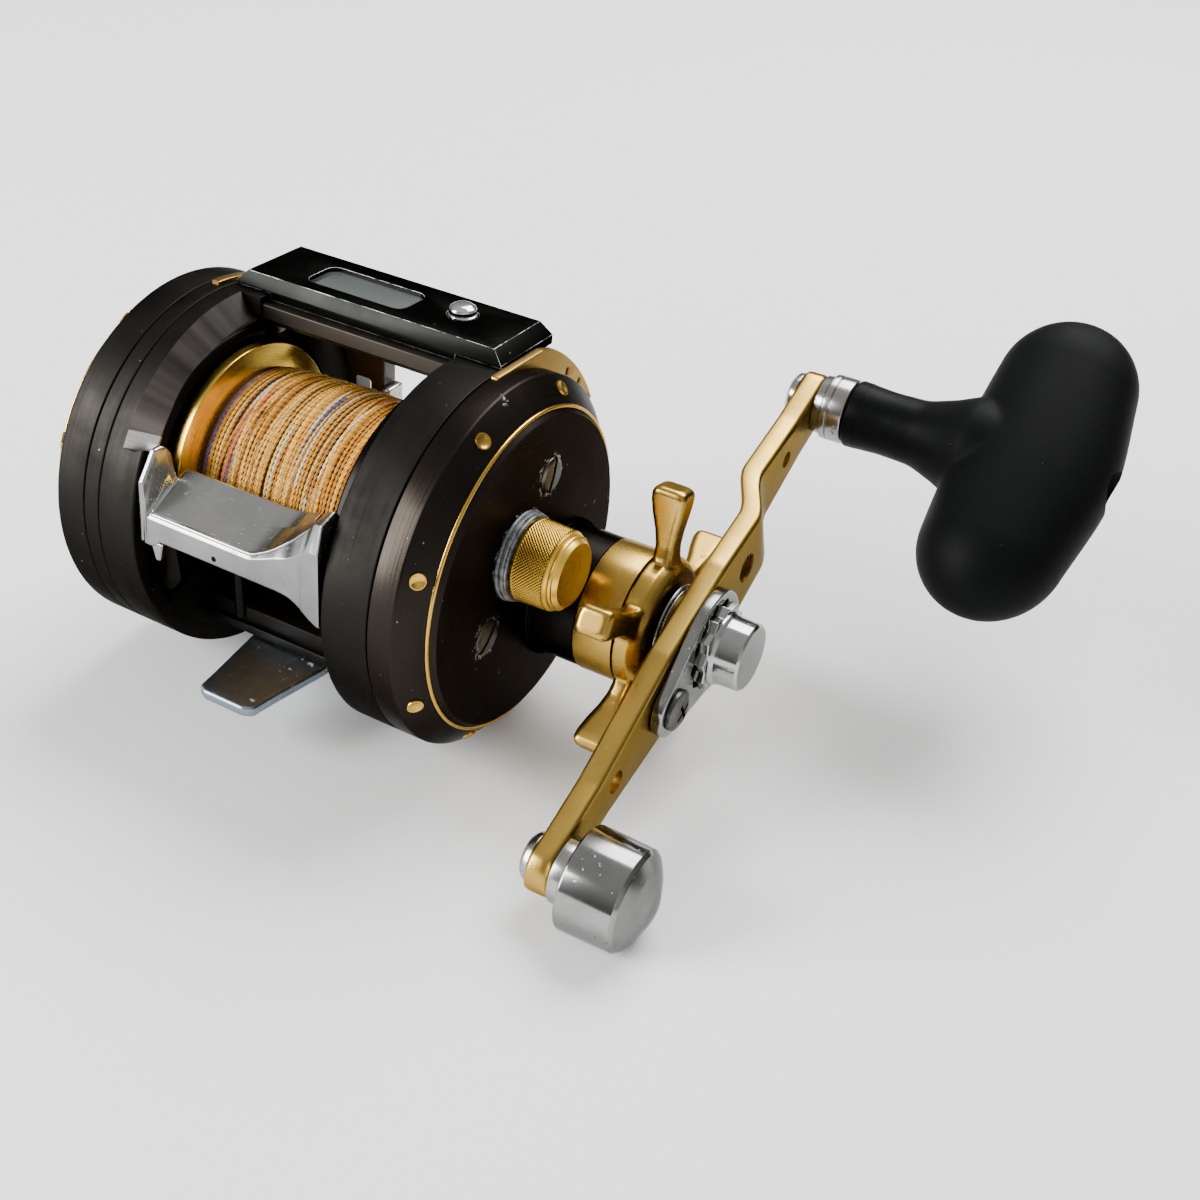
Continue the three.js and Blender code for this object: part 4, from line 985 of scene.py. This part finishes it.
retainer = [on_arm(*p) for p in arc((0, 0), 7.6, -108, 108, 36) + arc((SCREW_S, 0), 4, 108, 252, 18)]
teeth = [on_arm(*polar((0, 0), 6.55 if k % 2 else 5.95, TURN * k / 24)) for k in range(24)]
finished("retainer_plate", plate("yz", retainer, 52.18, 53.8, 0.3, [teeth]), "handle", plate_steel,
         "nut_retainer", 35)
screw_at = on_arm(SCREW_S)
head = turned([(53.85, 0), (53.85, 2.9, 0.1), (54.45, 2.85, 0.3), (54.95, 1.7, 0.8), (55.05, 0)],
              screw_at, 64)
for turn in (0.5, 0.5 + math.pi / 2):
    head = slotted(head, screw_at, 54.45, 0.3, 1.5, turn)
finished("retainer_fixing", head, "handle", screw_steel, "retainer_screw", 40)

corners = [(*polar(HANDLE, 6.1 if i % 2 else 5.35, math.radians(12 + 15 * i)), 0.12) for i in range(24)]
barrel = [(54.5, 2.7), (54.5, 5.25, 0.15), (55.4, 5.2, 0.2), (55.9, 4.85, 0.2), (58.95, 4.72, 0.05),
          (59.3, 4.4, 0.05), (59.3, 0), (58.0, 0), (58.0, 2.7)]
finished("nut_hex", plate("yz", corners, 52.3, 55.1, 0.2), "handle", nut_steel, "handle_nut")
finished("nut_barrel", turned(barrel, HANDLE, 128), "handle", nut_steel, "handle_nut")

knob_pin = [(43.9, 0), (43.95, 2.9, 0.3), (44.5, 3.5, 0.2), (45.3, 3.6, 0.1), (45.3, 1.65), (86.2, 1.65),
            (86.2, 0)]
ferrule = [(48.75, 1.75), (48.75, 4.3, 0.1), (49.9, 4.4, 0.1), (50.1, 4.85, 0.2), (51.05, 4.88, 0.12),
           (51.2, 4.6, 0.05), (51.35, 4.88, 0.12), (53.35, 4.85, 0.25), (53.6, 4.5), (53.6, 1.75)]
weight_pin = [(47.3, 0), (47.35, 2.7, 0.3), (47.9, 3.2, 0.2), (48.7, 3.4, 0.1), (48.7, 1.65), (60.6, 1.65),
              (60.6, 0)]
weight = [(54.5, 1.75), (54.5, 6.93, 0.35), (61.95, 6.77, 0.25), (62.5, 6.3, 0.3), (63.6, 4.5, 3),
          (64.6, 2.0, 3), (65, 0), (61, 0), (61, 1.75)]
for name, mesh, node in (
    ("knob_rivet", turned(knob_pin, KNOB, 64), "knob_spindle"),
    ("knob_ferrule", turned(ferrule, KNOB, 128), "knob_collar"),
    ("weight_rivet", turned(weight_pin, WEIGHT, 64), "counterweight_pin"),
    ("weight_washer", cylinder(52.15, 54.45, 4.4, WEIGHT, 96, 0.15, 1.75), "counterweight_spacer"),
):
    finished(name, mesh, "handle", collar_steel, node)
finished("weight_turned", turned(weight, WEIGHT), "handle", polished, "counterweight")


# ---------------------------------------------------------------- knob
def knob():
    """T-bar and flared stem under one soft skin, with the recess for its screw."""
    half, along, across, lean = 14.6, 10.4, 8.0, ARM_ANGLE + 0.15
    ends = [half + along * math.cos(t) for t in np.linspace(0.12, math.pi / 2, 14)]
    sections = []
    for s in [*(-s for s in ends), *np.linspace(-half + 1, half - 1, 20), *ends[::-1]]:
        over = max(abs(s) - half, 0) / along
        r = across * math.sqrt(max(1 - over * over, 0)) if over else across + 0.4 * (1 - (s / half) ** 2)
        ring = []
        for x, n in circle((0, 0), r, 48):
            x = 1.24 * x
            if x > 0:
                x += 1.9 * math.exp(-((s / 13) ** 2)) * x / 10
            ring.append((80.3 + x, *polar(polar(KNOB, s, lean), n, lean + math.pi / 2)))
        sections.append(ring)
    stem = [(54.5, 0), (54.5, 4.98, 0.3), (59, 4.7, 5), (64, 4.85, 5), (68, 6.2, 3), (71.5, 7.8, 3),
            (76, 7.6), (76, 0)]
    soft = blended([skin(sections), turned(stem, KNOB, 96)], 0.4, 14)
    rim = turned([(53.8, 1.75), (53.8, 4.98, 0.3), (55.5, 4.93), (55.5, 1.75)], KNOB, 96)
    recess = turned([(86.5, 0), (86.5, 2.7, 0.3), (91.0, 2.9, 0.5), (96, 4.4), (96, 0)], KNOB, 64)
    return combined(combined(soft, [recess]), [rim], "UNION")


finished("knob_grip", knob(), "knob", rubber(), "knob", 60)
head = turned([(86.7, 0), (86.7, 2.55), (88.2, 2.55, 0.2), (88.2, 0)], KNOB, 48)
finished("knob_fixing", slotted(head, KNOB, 87.6, 0.35, 3), "handle", screw_steel, "knob_screw")


# ---------------------------------------------------------------- level wind
def carriage():
    """The line guide's block and post, bored for the worm's tube and its rod, with a window for the line."""
    made = combined(block((-12.7, 14.6, 15.2), (-5.9, 22.4, 24.4), 0.5),
                    [block((-12.7, 16, 23.5), (-5.9, 19.4, 36.8), 0.5)], "UNION")
    return combined(made, [cylinder(-20, 0, 3.4, WORM), cylinder(-20, 0, 1.15, ROD),
                           block((-10.6, 10, 25.6), (-8.0, 25, 30.4), 0.4)])


def worm(n=64, rows=320, length=34.0, lead=7.0, groove=0.85):
    """The level wind's screw, with two crossing grooves that stop short of its ends."""
    sections = []
    for i in range(rows + 1):
        x = length * i / rows - 16
        ring = []
        for a in around(n):
            gaps = [(way * a / TURN * lead + x) % lead - lead / 2 for way in (1, -1)]
            depth = max(0.75 * math.sqrt(max(0.0, 1 - (gap / groove) ** 2)) for gap in gaps)
            ring.append((x, *polar(WORM, 2.2 - depth * (2 < x + 16 < length - 2), a)))
        sections.append(ring)
    return skin(sections)


finished("line_carriage", carriage(), "line_guide", guide_black, "line_guide")
finished("carriage_lip", block((-5.85, 15.4, 25.4), (-4.4, 19.0, 29.9), 0.3), "line_guide",
         collar_steel)
finished("worm_screw", worm(), "worm", steel, "worm_shaft", 50)
for name, x0, x1 in (("left", -20.6, -15.9), ("right", 17.9, 23.8)):
    finished("worm_journal_" + name, cylinder(x0, x1, 1.45, WORM, 40, 0.1), "worm", steel,
             "worm_shaft")
slot = block((-14, WORM[0] - 1.2, WORM[1] - 4), (14, WORM[0] + 1.2, WORM[1]))
tube = combined(cylinder(-15, 15.1, 3.3, WORM, 96, 0.1, 2.7), [slot])
finished("worm_tube", tube, "frame", steel, "worm_guard")
finished("guide_bar", cylinder(-18, 18, 1.05, ROD, 48, 0.1), "frame", steel, "guide_rod")


# ---------------------------------------------------------------- carried-over inner pieces
for material, *names in (
    (steel, "spool_bearing_left", "spool_bearing_middle", "spool_bearing_right", "clutch_yoke", "ratchet",
     "drive_shaft", "roller_sleeve", "anti_reverse_bearing", "counter_battery"),
    (brass, "drive_gear", "pinion_gear", "brake_drum", "guide_pawl"),
    (nylon_material(), "brake_hub", "wind_drive_gear", "worm_gear"),
    (guide_black, "drag_washers", "counter_board"),
):
    for name in names:
        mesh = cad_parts[name].data
        mesh.materials.clear()
        mesh.materials.append(material)


# ---------------------------------------------------------------- camera, floor and light
def add_camera():
    """The view from above the front right, a little rolled."""
    az, el, roll = (math.radians(a) for a in (26.457, 33.522, 5.614))
    back = Vector((math.sin(az) * math.cos(el), -math.cos(az) * math.cos(el), math.sin(el)))
    right = Vector((math.cos(az), math.sin(az), 0))
    up = back.cross(right)
    axes = (math.cos(roll) * right + math.sin(roll) * up, math.cos(roll) * up - math.sin(roll) * right, back)
    data = bpy.data.cameras.new("camera")
    data.sensor_width = 36.0
    data.lens = 46.97
    data.clip_start = 0.01
    camera = placed("camera", data)
    camera.matrix_world = (Matrix.Translation(Vector((116.182, -152.05, 132.273)) * MM)
                           @ Matrix(axes).transposed().to_4x4())
    bpy.context.scene.camera = camera


def add_floor(half=4):
    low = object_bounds()[0][2]
    mesh = bpy.data.meshes.new("floor")
    mesh.from_pydata([(-half, -half, low), (half, -half, low), (half, half, low), (-half, half, low)], [],
                     [(0, 1, 2, 3)])
    mesh.materials.append(Look("floor_white").painted((0.9, 0.9, 0.9), 0.9))
    placed("floor", mesh)


def add_light(name, towards, distance, size, power):
    """A soft panel that faces the reel from a direction, in metres and watts."""
    data = bpy.data.lights.new(name, "AREA")
    data.shape = "RECTANGLE"
    data.size, data.size_y = size
    data.energy = power
    lamp = placed(name, data)
    aim = Vector(towards).normalized()
    lamp.location = Vector((20, 0, 20)) * MM + aim * distance
    lamp.rotation_euler = aim.to_track_quat("Z", "Y").to_euler()


def add_world():
    """A bright ceiling over a dim room, with a faint glow from the front right."""
    world = bpy.data.worlds.new("world")
    bpy.context.scene.world = world
    world.use_nodes = True
    sky = Nodes(world.node_tree)
    where = sky.put("TexCoord").outputs["Generated"]
    glow = sky.vector("DOT_PRODUCT", where, (0.80, -0.58, 0.14))
    strength = sky.add(sky.ramp(sky.split(where)[2], 0.15, 0.95, 0.16, 0.6),
                       sky.ramp(glow, 0.8, 0.97, 0.0, 0.6))
    background = world.node_tree.nodes["Background"].inputs
    sky.feed(background["Color"], (1, 0.985, 0.96))
    sky.feed(background["Strength"], strength)


add_camera()
add_floor()
add_light("window_left", (-0.65, -0.70, 0.35), 0.9, (0.4, 0.6), 20)
add_light("overhead", (0.05, 0.6, 0.85), 0.9, (0.7, 0.6), 15)
add_world()
